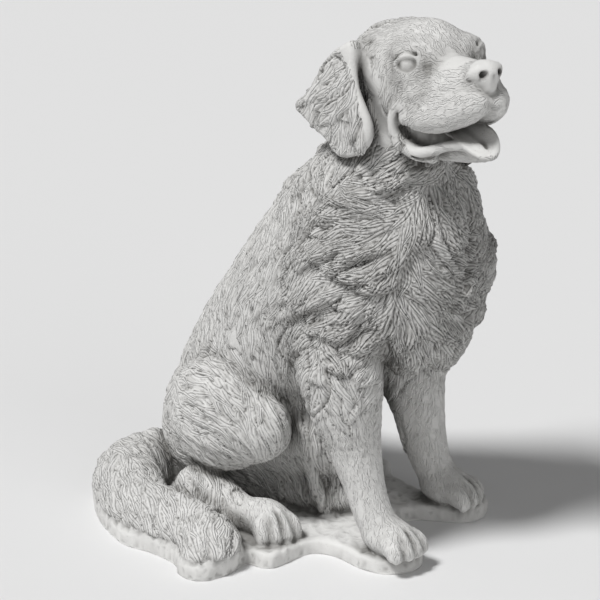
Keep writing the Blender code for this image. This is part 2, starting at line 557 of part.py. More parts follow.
def stone():
    """Pale cast stone, matt all over."""
    material = bpy.data.materials.new("cast stone")
    material.use_nodes = True
    shader = material.node_tree.nodes["Principled BSDF"]
    shader.inputs["Base Color"].default_value = STONE_COLOUR
    shader.inputs["Roughness"].default_value = STONE_ROUGHNESS
    return material


def main():
    for thing in list(bpy.data.objects):
        bpy.data.objects.remove(thing)
    statue = bpy.data.objects.new("dog_statue", statue_mesh())
    statue.data.materials.append(stone())
    bpy.context.scene.collection.objects.link(statue)


main()
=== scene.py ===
"""A sitting long-haired dog cast in stone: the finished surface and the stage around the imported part."""

import math
from concurrent.futures import ThreadPoolExecutor
from functools import partial

import bmesh
import bpy
import numpy as np
from bpy.props import FloatProperty, FloatVectorProperty, IntProperty, PointerProperty
from mathutils import Matrix, Vector


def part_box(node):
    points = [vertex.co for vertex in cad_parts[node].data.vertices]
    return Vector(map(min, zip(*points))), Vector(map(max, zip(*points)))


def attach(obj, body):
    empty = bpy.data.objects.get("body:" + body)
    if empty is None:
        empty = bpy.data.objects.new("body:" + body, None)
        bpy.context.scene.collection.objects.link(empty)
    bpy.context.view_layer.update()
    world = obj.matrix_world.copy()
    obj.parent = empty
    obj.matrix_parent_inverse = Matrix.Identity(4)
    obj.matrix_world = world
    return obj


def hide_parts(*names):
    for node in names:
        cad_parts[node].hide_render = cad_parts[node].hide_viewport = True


bl_info = {
    "name": "Dog statuette",
    "version": (1, 0, 0),
    "blender": (4, 5, 0),
    "location": "3D View > Sidebar > Statuette",
    "description": "Sculpts a stone dog, combs its hair and lights it",
    "category": "Object",
}

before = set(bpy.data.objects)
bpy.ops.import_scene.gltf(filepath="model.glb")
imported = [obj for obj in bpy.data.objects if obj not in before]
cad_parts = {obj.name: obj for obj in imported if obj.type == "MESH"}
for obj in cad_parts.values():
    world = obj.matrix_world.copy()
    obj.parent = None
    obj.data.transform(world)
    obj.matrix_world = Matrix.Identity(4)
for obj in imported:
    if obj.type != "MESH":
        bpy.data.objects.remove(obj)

# The figure is sculpted in units of one 680th of its height, and its field is worked out in blocks
UNIT = 0.001
BASE_UNITS = 20.0
REACH = 40.0
BLOCK = 44.0
BLOCK_ROW = 1000
THREADS = 4
FIELD_LOW = (-290.0, -310.0, -BASE_UNITS - 40)
FIELD_HIGH = (440.0, 215.0, 815.0)
CORNERS = [(i, j, k) for i in (0, 1) for j in (0, 1) for k in (0, 1)]


def turned(roll=0.0, pitch=0.0, yaw=0.0):
    """A turn matrix in degrees: roll about X, then nose up about Y, then yaw about Z."""
    r, p, y = np.radians([roll, -pitch, yaw])
    about_x = np.array([[1, 0, 0], [0, np.cos(r), -np.sin(r)], [0, np.sin(r), np.cos(r)]])
    about_y = np.array([[np.cos(p), 0, np.sin(p)], [0, 1, 0], [-np.sin(p), 0, np.cos(p)]])
    about_z = np.array([[np.cos(y), -np.sin(y), 0], [np.sin(y), np.cos(y), 0], [0, 0, 1]])
    return about_z @ about_y @ about_x


def open_curve(points, spans):
    """Points along a smooth open curve through the given points."""
    p = np.asarray(points, float)
    if len(p) < 3:
        return p
    p = np.vstack([2 * p[0] - p[1], p, 2 * p[-1] - p[-2]])
    return np.vstack([curve(p[:-3], p[1:-2], p[2:-1], p[3:], spans), p[-2]])


def closed_curve(points, spans=4):
    """Points along a smooth closed curve through the given points."""
    p = np.asarray(points, float)
    return curve(np.roll(p, 1, 0), p, np.roll(p, -1, 0), np.roll(p, -2, 0), spans)


def curve(a, b, c, d, spans):
    """Points on the smooth curve from each b to its c, with a before and d after them."""
    rows = [blend_four(a, b, c, d, t) for t in np.arange(spans) / spans]
    return np.stack(rows, 1).reshape(-1, a.shape[1])


def blend_four(a, b, c, d, t):
    """The point at t between b and c on the smooth curve through a, b, c and d."""
    square, cube = t * t, t * t * t
    bent = (2 * a - 5 * b + 4 * c - d) * square + (3 * b - a - 3 * c + d) * cube
    return 0.5 * (2 * b + (c - a) * t + bent)


def outline_distance(q, outline):
    """Distance from flat points to a closed outline, negative inside it."""
    start, end = outline, np.roll(outline, -1, 0)
    edge = end - start
    along = q @ edge.T - (start * edge).sum(1)
    t = np.clip(along / (edge**2).sum(1), 0, 1)
    square = (q**2).sum(1)[:, None] - 2 * q @ start.T + (start**2).sum(1)
    square = square - 2 * t * along + t**2 * (edge**2).sum(1)
    above = (start[:, 1] > q[:, 1:]) != (end[:, 1] > q[:, 1:])
    rise = np.where(edge[:, 1] == 0, 1, edge[:, 1])
    before = q[:, :1] - start[:, 0] < edge[:, 0] * (q[:, 1:] - start[:, 1]) / rise
    inside = (above & before).sum(1) % 2 == 1
    return np.where(inside, -1, 1) * np.sqrt(np.maximum(square.min(1), 0))


# How far a plate's faces may be lifted, at most
MOST_LIFT = 30.0


class Clay:
    """Shapes that are added to one lump or carved from it, in order, each with its own frame."""

    def __init__(self, shapes=None, origin=(0, 0, 0), turn=None):
        self.shapes = [] if shapes is None else shapes
        self.origin = np.array(origin, np.float32)
        self.turn = np.eye(3, dtype=np.float32) if turn is None else turn.astype(np.float32)

    def local(self, origin, turn):
        """The same lump, with its shapes given in a moved and turned frame."""
        return Clay(self.shapes, self.origin + self.turn @ np.array(origin, np.float32), self.turn @ turn)

    def add(self, low, high, distance, blend, carve):
        """Keeps a shape and the box, in its own frame, that it can change."""
        low, high = np.asarray(low, np.float32) - REACH, np.asarray(high, np.float32) + REACH
        corners = np.array([[(low, high)[i >> k & 1][k] for k in range(3)] for i in range(8)])
        corners = corners @ self.turn.T + self.origin
        self.shapes.append((corners.min(0), corners.max(0), low, high, self.origin, self.turn,
                            distance, blend, -1 if carve else 1))

    def egg(self, centre, radii, turn=None, blend=12, carve=False):
        """An ellipsoid."""
        centre, radii = np.array(centre, np.float32), np.array(radii, np.float32)

        def distance(q):
            q = q - centre if turn is None else (q - centre) @ turn.astype(np.float32)
            far = np.sqrt(((q / radii) ** 2).sum(1)) + 1e-6
            slope = np.sqrt(((q / radii**2) ** 2).sum(1)) + 1e-9
            return far * (far - 1) / slope

        self.add(centre - radii.max(), centre + radii.max(), distance, blend, carve)

    def chain(self, beads, blend=12, carve=False, spans=3):
        """A tapered tube with round ends, through beads of x, y, z and radius."""
        beads = open_curve(beads, spans).astype(np.float32)
        start, step = beads[:-1, :3], np.diff(beads[:, :3], axis=0)
        wide, more = beads[:-1, 3], np.diff(beads[:, 3])
        long = np.maximum((step**2).sum(1), 1e-6)

        def distance(q):
            along = q @ step.T - (start * step).sum(1)
            t = np.clip(along / long, 0, 1)
            square = (q**2).sum(1)[:, None] - 2 * q @ start.T + (start**2).sum(1)
            square = np.maximum(square - 2 * t * along + t**2 * long, 0)
            return (np.sqrt(square) - wide - more * t).min(1)

        thick = beads[:, 3].max()
        self.add(beads[:, :3].min(0) - thick, beads[:, :3].max(0) + thick, distance, blend, carve)

    def plate(self, outline, across, low, high, rim, blend=12, lift=None):
        """A plate with a round rim. Its outline lies across one axis, and lift curves its faces."""
        outline = closed_curve(outline).astype(np.float32)
        flat = [axis for axis in range(3) if axis != across]

        def distance(q):
            side = outline_distance(q[:, flat], outline) + rim
            face = np.abs(q[:, across] - (lift(q) if lift else 0) - (low + high) / 2) - (high - low) / 2 + rim
            out = np.hypot(np.maximum(side, 0), np.maximum(face, 0))
            return np.minimum(np.maximum(side, face), 0) + out - rim

        box_low, box_high = np.full(3, low - MOST_LIFT), np.full(3, high + MOST_LIFT)
        box_low[flat], box_high[flat] = outline.min(0), outline.max(0)
        self.add(box_low, box_high, distance, blend, False)

    def depth(self, points):
        """The signed distance at the points, negative inside the lump."""
        points = points.astype(np.float32)
        depth = np.full(len(points), REACH, np.float32)
        floor, roof = points.min(0), points.max(0)
        met = (self.lows <= roof).all(1) & (self.highs >= floor).all(1)
        for n in np.flatnonzero(met):
            _, _, low, high, origin, turn, distance, blend, sign = self.shapes[n]
            q = (points - origin) @ turn
            near = np.flatnonzero(((q > low) & (q < high)).all(1))
            if len(near):
                value = distance(q[near]).astype(np.float32)
                old = sign * depth[near]
                h = np.clip(0.5 + 0.5 * (value - old) / blend, 0, 1)
                depth[near] = sign * (value + (old - value) * h - blend * h * (1 - h))
        return depth

    def settle(self):
        """Notes the boxes of all the shapes, once the last one is in."""
        self.lows = np.array([shape[0] for shape in self.shapes])
        self.highs = np.array([shape[1] for shape in self.shapes])
        return self


# Where the parts of the figure are, in units, Z from the top of the base
HEAD_PLACE, HEAD_TURN = (179, -14, 627), turned(0, 13, -27)
EAR_PLACE = {-1: (-30, -82, 0), 1: (-34, 70, -30)}
EAR_YAW = 17
FOREPAW = {-1: (203, -90), 1: (180, 92)}
FORELEG_BACK = {-1: 0, 1: -24}
FORELEG_MORE = {-1: 0, 1: 3}
HINDLEG_BACK = {-1: 0, 1: -58}
SIDES = (-1, 1)

BASE_OUTLINE = [
    (-266, -60), (-256, -110), (-235, -146), (-194, -188), (-130, -227), (-83, -229), (-37, -240),
    (-14, -261), (16, -266), (33, -246), (34, -207), (42, -188), (64, -187), (78, -175), (86, -130),
    (96, -112), (124, -106), (170, -118), (205, -115), (227, -94), (229, -66), (212, -45), (165, -27),
    (135, -6), (125, 20), (140, 40), (150, 52), (176, 64), (205, 78), (217, 101), (212, 127), (194, 145),
    (160, 138), (125, 108), (84, 118), (52, 136), (40, 160), (0, 172), (-60, 172), (-120, 156),
    (-180, 118), (-228, 60), (-256, 0),
]
EAR_OUTLINE = [
    (19, 40), (0, 36), (-16, 28), (-41, 5), (-64, -17), (-92, -40), (-84, -49), (-67, -63), (-45, -81),
    (-26, -98), (-4, -102), (18, -96), (32, -82), (36, -64), (31, -44), (22, -18), (19, 10),
]
TONGUE_OUTLINE = [(-40, -17), (-10, -20), (18, -22), (36, -15), (43, 0),
                  (36, 15), (18, 22), (-10, 20), (-40, 17)]


def torso(clay):
    """The slanting back, the chest with its ruff and bib, the shoulders and the belly."""
    clay.chain([(-100, 0, 90, 102), (-50, 0, 179, 108), (5, 0, 260, 113), (74, 0, 352, 118),
                (118, -3, 440, 95), (144, -8, 505, 69), (155, -10, 560, 60)], 30)
    clay.egg((161, 0, 335), (84, 98, 110), None, 30)
    clay.egg((181, 4, 400), (66, 85, 80), None, 25)
    clay.egg((175, 0, 302), (65, 66, 63), turned(0, -15, 0), 22)
    clay.egg((202, 40, 350), (48, 49, 43), None, 16)
    clay.egg((184, 37, 446), (44, 48, 42), None, 18)
    for side in SIDES:
        clay.egg((108, side * 82, 335), (72, 46, 108), turned(0, -10, 0), 25)
        clay.egg((124, side * 98, 245), (52, 38, 80), turned(0, 12, 0), 20)
    clay.chain([(-70, 0, 62, 66), (45, 0, 110, 66)], 20)
    clay.chain([(-60, 0, 26, 60), (20, 0, 26, 50), (60, -2, 20, 34)], 16)
    for side in SIDES:
        clay.chain([(34, side * 58, 118, 12), (48, side * 54, 80, 9), (54, side * 46, 40, 8),
                    (64, side * 40, 6, 7)], 10)


def paw(clay, place, yaw):
    """A paw with four toes, each with its claw pad."""
    foot = clay.local((*place, 0), turned(0, 0, yaw))
    foot.egg((-6, 0, 20), (38, 29, 24), None, 10)
    for toe in (-1.5, -0.5, 0.5, 1.5):
        reach = 22 - 5 * abs(toe)
        turn = turned(0, -22, toe * 7)
        foot.egg((reach, toe * 15, 17), (19, 9.5, 14), turn, 5)
        foot.egg((reach + 9, toe * 16, 9), (10, 9, 9), turn, 4)
    for gap in (-1, 0, 1):
        foot.chain([(44, gap * 17, 6, 3), (36, gap * 16, 20, 3), (24, gap * 14, 32, 2.5),
                    (10, gap * 12, 45, 2)], 4, carve=True)


def foreleg(clay, side):
    """A straight foreleg from the elbow down to its paw."""
    back, more, foot = FORELEG_BACK[side], FORELEG_MORE[side], FOREPAW[side]
    clay.chain([(122 + back, side * 97, 230, 50), (131 + back, side * 97, 190, 46),
                (141 + back, side * 94, 145, 36 + more), (156 + back, side * 92, 90, 27 + more),
                (168 + back, side * 91, 55, 25 + more / 2), (foot[0] - 22, foot[1], 30, 25)], 14)
    paw(clay, foot, side * 10)


def hindleg(clay, side):
    """A folded hind leg: thigh, knee, and the foot laid along the base."""
    back = HINDLEG_BACK[side]
    clay.egg((-58 + back, side * 106, 140), (76, 50, 76), turned(0, 20, 0), 12)
    clay.egg((back, side * 112, 138), (52, 36, 46), turned(0, 10, 0), 18)
    clay.chain([(-75 + back, side * 125, 36, 34), (-10 + back, side * 130, 20, 24),
                (20 + back, side * 131, 18, 24)], 12)
    paw(clay, (38 + back, side * 132), side * 26)


def tail(clay):
    """The bushy tail, swept round the dog's right side."""
    clay.chain([(-178, -8, 8, 33), (-213, -48, 12, 44), (-211, -101, 4, 48), (-156, -159, 0, 46),
                (-95, -181, 0, 45), (-35, -189, 0, 43), (2, -212, -2, 41), (4, -238, -8, 28)], 14)


def head(clay):
    """The head, with its open mouth, in its own frame: the nose points along its X."""
    h = clay.local(HEAD_PLACE, HEAD_TURN)
    h.egg((-15, 0, -2), (90, 68, 61), turned(0, -6, 0), 14)
    h.egg((30, 0, 8), (54, 52, 50), None, 16)
    h.egg((18, 0, -34), (62, 60, 56), None, 16)
    h.chain([(50, 0, -16, 40), (84, 0, -18, 34), (120, 0, -17, 28), (146, 0, -13, 21)], 14)
    for side in SIDES:
        h.chain([(72, side * 24, 17, 8), (63, side * 38, 24, 8), (48, side * 49, 25, 7)], 18)
        h.chain([(152, side * 13, -40, 19), (134, side * 19, -46, 21), (92, side * 33, -53, 23),
                 (60, side * 44, -54, 17), (44, side * 50, -54, 11)], 8)
        h.chain([(56, side * 54, -40, 5), (43, side * 59, -42, 6), (33, side * 60, -54, 6.5),
                 (28, side * 57, -74, 7), (34, side * 49, -92, 7), (50, side * 40, -103, 7),
                 (70, side * 31, -108, 6)], 6)
        h.egg((112, side * 20, -30), (44, 22, 30), turned(0, 0, -side * 12), 14)
        h.egg((54, side * 39, -22), (28, 20, 22), None, 16)
    h.chain([(0, 0, -72, 46), (56, 0, -88, 28), (98, 0, -99, 17), (136, 0, -101, 13)], 12)
    for side in SIDES:
        h.chain([(34, side * 46, -92, 6), (52, side * 41, -99, 8), (74, side * 34, -97, 8),
                 (96, side * 25, -92, 7), (116, side * 18, -92, 6), (134, side * 10, -96, 6)], 6)
        h.chain([(42, side * 49, -74, 5), (56, side * 40, -84, 8), (78, side * 30, -83, 8),
                 (108, side * 17, -78, 6), (140, side * 6, -76, 6)], 3, carve=True)
        h.chain([(46, side * 57, -50, 2.5), (42, side * 57, -62, 3), (44, side * 53, -74, 3)], 4, carve=True)
        h.chain([(40, side * 50, -96, 1.6), (58, side * 43, -107, 1.8), (80, side * 34, -105, 1.8),
                 (100, side * 25, -100, 1.6)], 3, carve=True)
    nose(h)
    tongue(h)
    for side in SIDES:
        eye(h, side)


def nose(h):
    """The nose, its nostrils, and the groove down the upper lip."""
    h.egg((158, 0, -5), (22, 21, 16), turned(0, 8, 0), 7)
    h.chain([(166, 0, -6, 13), (166, 0, -20, 9)], 5)
    for side in SIDES:
        h.chain([(168, side * 13, 1, 5), (160, side * 18, -3, 5), (154, side * 19, -8, 4)], 4)
        nostril = [(184, side * 10, -4, 4), (174, side * 11, -5, 4.4), (164, side * 12, -5, 3.4)]
        h.chain(nostril, 2, carve=True)
        slit = [(174, side * 12, -10, 2.4), (166, side * 19, -14, 2.0), (154, side * 23, -12, 1.6)]
        h.chain(slit, 2, carve=True)
    h.chain([(180, 0, -8, 1.2), (178, 0, -20, 1.6), (176, 0, -30, 2)], 3, carve=True)
    h.chain([(177, 0, -31, 2), (174, 0, -45, 4), (165, 0, -60, 8), (150, 0, -70, 11)], 4, carve=True)


def tongue(h):
    """The tongue, cupped and hanging over the lower lip."""
    t = h.local((118, 0, -85), turned(26, -20, 0))
    t.plate(TONGUE_OUTLINE, 2, -4, 4, 4, 3,
            lift=lambda q: 0.014 * q[:, 1] ** 2 - 0.006 * np.maximum(q[:, 0], 0) ** 2)
    t.chain([(-30, 0, 6, 3.2), (10, 0, 5, 3.2), (30, 0, 0, 2.4)], 3, carve=True)


def eye(h, side):
    """A plain ball between two lids, with the fold of the brow above."""
    e = h.local((58, side * 45, 11), turned(0, 0, side * 40))
    e.egg((10, 0, 2), (7, 17, 15), None, 12)
    e.egg((3, 0, -16), (8, 17, 9), None, 14)
    e.egg((15, 0, 0), (9.5, 12.5, 10.5), None, 2, carve=True)
    e.egg((5, 0, 0), (10.5, 10.5, 10.5), None, 0.5)
    arc = np.radians(np.linspace(0, 180, 11))
    lids = ((8, 7, 14, 3, 13, 2.2, 3, True), (7, 6.5, 12.5, -1, 10, 2.6, 2, False),
            (6, 5, 12, -1, -8.5, 2.2, 4, False))
    for front, more, half, drop, high, thick, blend, carve in lids:
        lid = [(front + more * np.sin(a), half * np.cos(a), drop + high * np.sin(a), thick) for a in arc]
        e.chain(lid, blend, carve)


def ear(clay, side):
    """A hanging ear, blown back, with its hair."""
    h = clay.local(HEAD_PLACE, HEAD_TURN)
    e = h.local(EAR_PLACE[side], turned(0, 0, -side * EAR_YAW))
    e.plate(EAR_OUTLINE, 1, -7, 7, 7, 5,
            lift=lambda q: side * 8 * np.exp(-(q[:, 0] / 45) ** 2 - ((q[:, 2] + 40) / 60) ** 2))
    e.chain([(10, -side * 16, 26, 12), (-4, -side * 16, 6, 13)], 16)


def figure():
    """The whole casting: the dog and its base, before its hair is carved."""
    clay = Clay()
    torso(clay)
    for side in SIDES:
        foreleg(clay, side)
        hindleg(clay, side)
    tail(clay)
    clay.plate(BASE_OUTLINE, 2, -BASE_UNITS - 20, 0, 6, 8)
    head(clay)
    for side in SIDES:
        ear(clay, side)
    return clay.settle()


# Strokes of the comb: a place, the way the hair lies there in tenths, and how shaggy it is in hundredths
COMB = [
    (75, -80, 490, 2, -4, -9, 60), (50, -80, 440, 2, -5, -8, 50), (15, -65, 405, 2, -5, -8, 35),
    (-40, -60, 340, -2, -5, -8, 25), (-85, -60, 280, 1, -6, -7, 30), (-120, -55, 240, 2, -6, -7, 30),
    (-5, -95, 320, -5, 0, -8, 40), (40, -105, 360, -2, 0, -10, 60), (80, -125, 355, -5, 1, -9, 70),
    (35, -110, 310, -3, 1, -9, 60), (-25, -100, 260, 0, -1, -10, 40), (20, -105, 255, 1, 2, -10, 80),
    (45, -105, 260, -1, 2, -10, 80), (35, -90, 190, 0, 2, -10, 80), (195, -70, 450, -7, -5, -5, 80),
    (165, -90, 430, -8, -5, -3, 80), (185, -75, 460, -9, -5, 0, 80), (155, -95, 460, -9, -1, 2, 70),
    (180, -100, 390, -7, -5, -5, 80), (145, -120, 370, -10, -1, -2, 80), (160, -115, 350, -9, -3, -3, 70),
    (175, -105, 325, -6, -3, -7, 80), (155, -115, 300, -8, -5, -4, 70), (205, -65, 445, 1, -2, -10, 80),
    (200, -75, 435, -2, -4, -9, 80), (200, -85, 375, -3, -3, -9, 80), (220, -70, 355, 5, 9, -1, 90),
    (245, -30, 350, 1, 9, -4, 100), (225, -65, 345, 4, 8, -5, 100), (245, -30, 320, 1, 8, -6, 100),
    (220, -70, 340, 2, 3, -9, 100), (235, -50, 300, 0, 6, -8, 100), (215, -75, 330, -1, 1, -10, 90),
    (215, -70, 290, -4, 5, -8, 90), (190, -75, 265, -4, 6, -7, 80), (215, -60, 445, 4, 0, -9, 90),
    (230, -60, 405, 4, 8, -5, 100), (245, -30, 385, 1, 10, -2, 100), (225, -10, 465, 4, -1, -9, 80),
    (240, -15, 430, 2, 7, -7, 100), (210, -35, 495, -5, -8, -2, 80), (195, -65, 490, -7, -6, -5, 80),
    (180, -90, 285, -3, -8, -6, 50), (130, -135, 275, 8, 0, -6, 50), (175, -90, 250, -2, -9, -5, 40),
    (150, -140, 220, 5, 3, -8, 35), (180, -100, 210, -3, -7, -7, 30), (165, -130, 175, 2, 3, -9, 20),
    (170, -115, 115, 2, 1, -10, 6), (115, -125, 275, -9, 0, -5, 80), (110, -115, 220, -8, 0, -6, 70),
    (115, -100, 160, -7, 2, -7, 50), (-95, -130, 195, 10, -1, 2, 60), (-50, -130, 205, 9, 0, -4, 60),
    (-80, -145, 180, 10, 1, 1, 70), (-35, -140, 190, 8, -1, -6, 80), (-75, -155, 145, 10, 0, -1, 70),
    (-35, -155, 145, 9, 1, -4, 70), (-75, -155, 120, 9, 0, -4, 60), (-50, -155, 110, 5, 4, -7, 60),
    (5, -125, 185, 6, -4, -7, 60), (20, -130, 140, 3, 0, -9, 70), (-110, -140, 160, -1, 1, -10, 30),
    (-225, -110, 55, 9, -3, 0, 50), (-190, -120, 60, 8, 5, -4, 50), (-215, -135, 45, 1, -9, -5, 90),
    (-215, -155, 35, 6, -7, -4, 90), (-190, -150, 45, 6, -8, -2, 90), (-165, -190, 35, 7, -6, -4, 90),
    (-145, -160, 50, 6, -8, -2, 90), (-120, -200, 40, 7, -5, -5, 90), (-85, -195, 45, 7, -6, -4, 90),
    (-55, -220, 30, 5, -4, -7, 80), (-55, -175, 45, 4, -8, -4, 90), (-25, -235, 20, 8, -6, -3, 80),
    (-10, -195, 45, 4, -9, -3, 90), (125, -85, 645, -8, 1, -6, 80), (80, -80, 610, -6, 1, -8, 80),
    (95, -85, 590, -8, 2, -6, 80), (130, -95, 590, -5, 1, -9, 80), (140, -80, 570, 0, -4, -9, 80),
    (140, -85, 640, 3, -2, -9, 10), (145, -95, 600, 3, -2, -9, 20), (265, -70, 665, -10, 0, 2, 2),
    (220, -60, 680, -9, 5, 1, 4), (165, -45, 680, -9, 0, -4, 6), (265, -105, 630, -9, 3, -3, 6),
    (200, -80, 640, -8, 1, -6, 10), (175, -80, 600, -4, -1, -9, 20), (315, -110, 630, -9, 0, -4, 4),
    (285, -110, 595, -10, 0, -2, 4), (285, -80, 545, -10, 0, -1, 10), (-160, 0, 170, 0, 0, -10, 30),
    (-60, 0, 330, -6, 0, -8, 30), (40, 0, 460, -4, 0, -9, 50), (80, 0, 560, -2, 0, -10, 50),
]


# Where the strokes of the near side aren't mirrored, how much neighbouring strokes blend, and the bare places
TAIL_FRONT = -130
STROKE_BLUR = 200
BARE_TOP = 5
PAW_TOP, PAW_BACK, PAW_SIDE = 60, -20, -190
BELLY_FRONT, BELLY_SIDE = 85, 75


def combed(points):
    """The way the hair lies at each point, and how shaggy it is, from the nearest strokes."""
    comb = np.array(COMB) / [1, 1, 1, 10, 10, 10, 100]
    other = comb * [1, -1, 1, 1, -1, 1, 1]
    strokes = np.vstack([comb, other[comb[:, 0] > TAIL_FRONT]])
    total = np.zeros((len(points), 5))
    for *place, x, y, z, shag in strokes:
        weight = 1 / (((points - place) ** 2).sum(1) + STROKE_BLUR) ** 2
        total += weight[:, None] * [x, y, z, shag, 1]
    total /= total[:, 4:]
    legs = (points[:, 0] > BELLY_FRONT) | (np.abs(points[:, 1]) > BELLY_SIDE)
    bare = (points[:, 2] < BARE_TOP) | low_down(points) & legs
    return total[:, :3], np.where(bare, 0, total[:, 3])


def low_down(points):
    """The places of the paws, and of the belly between them."""
    return (points[:, 2] < PAW_TOP) & (points[:, 0] > PAW_BACK) & (points[:, 1] > PAW_SIDE)


# How near the surface, in coarse cells, the grid is fine, and the depth that closes a pinch
NEAR_CELLS = 1.8
PINCH_DEPTH = -0.1


def surface(field, low, high, step, coarse=4):
    """A closed quad mesh around the clay, from a grid that is fine only near its surface."""
    count = np.ceil((high - low) / (step * coarse)).astype(int)
    rough = np.stack(np.meshgrid(*[low[i] + step * coarse * np.arange(count[i] + 1) for i in range(3)],
                                 indexing="ij"), -1)
    depth = field(rough.reshape(-1, 3)).reshape(count + 1)
    near = np.abs(depth) < step * coarse * NEAR_CELLS
    cell = np.zeros(count, bool)
    for i, j, k in CORNERS:
        cell |= near[i:count[0] + i, j:count[1] + j, k:count[2] + k]
    fine = cell.repeat(coarse, 0).repeat(coarse, 1).repeat(coarse, 2)
    mask = np.zeros(count * coarse + 1, bool)
    for i, j, k in CORNERS:
        mask[i:fine.shape[0] + i, j:fine.shape[1] + j, k:fine.shape[2] + k] |= fine
    values = np.full(mask.shape, REACH, np.float32)
    values[:-1, :-1, :-1] = depth[:-1, :-1, :-1].repeat(coarse, 0).repeat(coarse, 1).repeat(coarse, 2)
    values[mask] = field(low + np.argwhere(mask) * step)
    fill_pinches(values)
    return nets(values, low, step)


def fill_pinches(values):
    """Fills the grid points where the surface would touch itself along an edge or at a corner."""
    changed = True
    while changed:
        inside = values < 0
        fill = np.zeros_like(inside)
        for axis in range(3):
            u, v = [i for i in range(3) if i != axis]
            part = []
            for steps in ((0, 0), (1, 0), (0, 1), (1, 1)):
                cut = [slice(None)] * 3
                for i, forward in zip((u, v), steps):
                    cut[i] = slice(1, None) if forward else slice(0, -1)
                part.append(tuple(cut))
            a, b, c, d = part
            fill[b] |= inside[a] & inside[d] & ~inside[b] & ~inside[c]
            fill[a] |= ~inside[a] & ~inside[d] & inside[b] & inside[c]
        size = np.array(values.shape) - 1
        part = {c: inside[tuple(slice(c[i], c[i] + size[i]) for i in range(3))] for c in CORNERS}
        full = sum(part[c].astype(np.uint8) for c in CORNERS)
        for c in CORNERS[:4]:
            far = tuple(1 - i for i in c)
            apart = (full == 2) & part[c] & part[far] | (full == 6) & ~part[c] & ~part[far]
            for i, j, k in CORNERS:
                fill[i:size[0] + i, j:size[1] + j, k:size[2] + k] |= apart
        fill &= ~inside
        values[fill] = PINCH_DEPTH
        changed = fill.any()


def nets(values, low, step):
    """Surface nets: one vertex in each cell that the surface passes, one face across each crossed edge."""
    inside = values < 0
    corners = np.array(CORNERS)
    size = np.array(values.shape) - 1
    full = sum(inside[i:size[0] + i, j:size[1] + j, k:size[2] + k].astype(np.uint8) for i, j, k in corners)
    cells = np.argwhere((full > 0) & (full < 8))
    number = np.full(size, -1)
    number[tuple(cells.T)] = np.arange(len(cells))
    at = np.stack([values[tuple((cells + c).T)] for c in corners], 1)
    place, hits = np.zeros((len(cells), 3)), np.zeros(len(cells))
    for a in range(8):
        for b in range(a + 1, 8):
            if np.abs(corners[a] - corners[b]).sum() == 1:
                cross = (at[:, a] < 0) != (at[:, b] < 0)
                t = at[cross, a] / (at[cross, a] - at[cross, b])
                place[cross] += corners[a] + t[:, None] * (corners[b] - corners[a])
                hits[cross] += 1
    faces = []
    for axis in range(3):
        here, there = [slice(None)] * 3, [slice(None)] * 3
        here[axis], there[axis] = slice(0, -1), slice(1, None)
        leaves = inside[tuple(here)] & ~inside[tuple(there)]
        enters = ~inside[tuple(here)] & inside[tuple(there)]
        u, v = [i for i in range(3) if i != axis]
        for edges, flip in ((np.argwhere(leaves), axis == 1), (np.argwhere(enters), axis != 1)):
            ring = []
            for back_u, back_v in ((0, 0), (1, 0), (1, 1), (0, 1)):
                cell = edges.copy()
                cell[:, u] -= back_u
                cell[:, v] -= back_v
                ring.append(number[tuple(cell.T)])
            ring = np.stack(ring, 1)
            faces.append(ring[:, ::-1] if flip else ring)
    return low + (cells + place / hits[:, None]) * step, np.vstack(faces)


def normals_of(points, faces):
    """Smooth normals at the vertices of a quad mesh."""
    across = np.cross(points[faces[:, 2]] - points[faces[:, 0]], points[faces[:, 3]] - points[faces[:, 1]])
    total = np.zeros_like(points)
    for corner in range(4):
        np.add.at(total, faces[:, corner], across)
    return unit_rows(total)


def unit_rows(rows):
    """The rows scaled to length one."""
    return rows / np.maximum(np.linalg.norm(rows, axis=1, keepdims=True), 1e-9)


def block_field(points):
    """The depth at many points, worked out block by block, so that shapes far from a block are skipped."""
    clay = figure()
    cell = np.floor(points / BLOCK).astype(np.int64)
    key = (cell[:, 0] * BLOCK_ROW + cell[:, 1]) * BLOCK_ROW + cell[:, 2]
    order = np.argsort(key, kind="stable")
    parts = np.split(order, np.flatnonzero(np.diff(key[order])) + 1)
    depth = np.empty(len(points), np.float32)
    with ThreadPoolExecutor(THREADS) as pool:
        for part, value in zip(parts, pool.map(lambda part: clay.depth(points[part]), parts)):
            depth[part] = value
    return depth


# Kinds of lock: the shagginess where they grow, least size, length, width, depth, spacing, strand and relief
LOCK_VALUES = ("from", "to", "least", "length", "width", "depth", "spacing", "strand", "relief")
LOCK_KINDS = [dict(zip(LOCK_VALUES, row)) for row in (
    (0.5, 1.0, 0.4, 135, 54, 19, 50, 7.0, 1.0),
    (0.28, 1.0, 0.5, 105, 30, 9, 29, 6.0, 1.0),
    (0.12, 1.0, 0.6, 70, 16, 3.4, 17, 5.3, 0.9),
    (0.04, 0.2, 0.7, 22, 10, 1.2, 8, 3.6, 0.6),
)]
# How much locks differ, how many strands they have, how they lie and how high they stand
LEAST_LUCK, MORE_LUCK = 0.8, 0.4
FEWEST_STRANDS, MOST_STRANDS, STRAND_LUCK = 2, 7, 0.6
LOCK_REACH = 0.62
OUTWARD_SHARE = 0.2
WAVE, BEND, TAPER = 0.4, 0.8, 5
ROOT_RISE, TIP_START, TIP_LENGTH = 0.3, 0.75, 0.12
# How deep the ridges of its strands are, and how far a lock's bed lies under the skin
STRAND_SHARE, STRAND_ROUND = 0.26, 0.7
BED_SHARE = 0.35


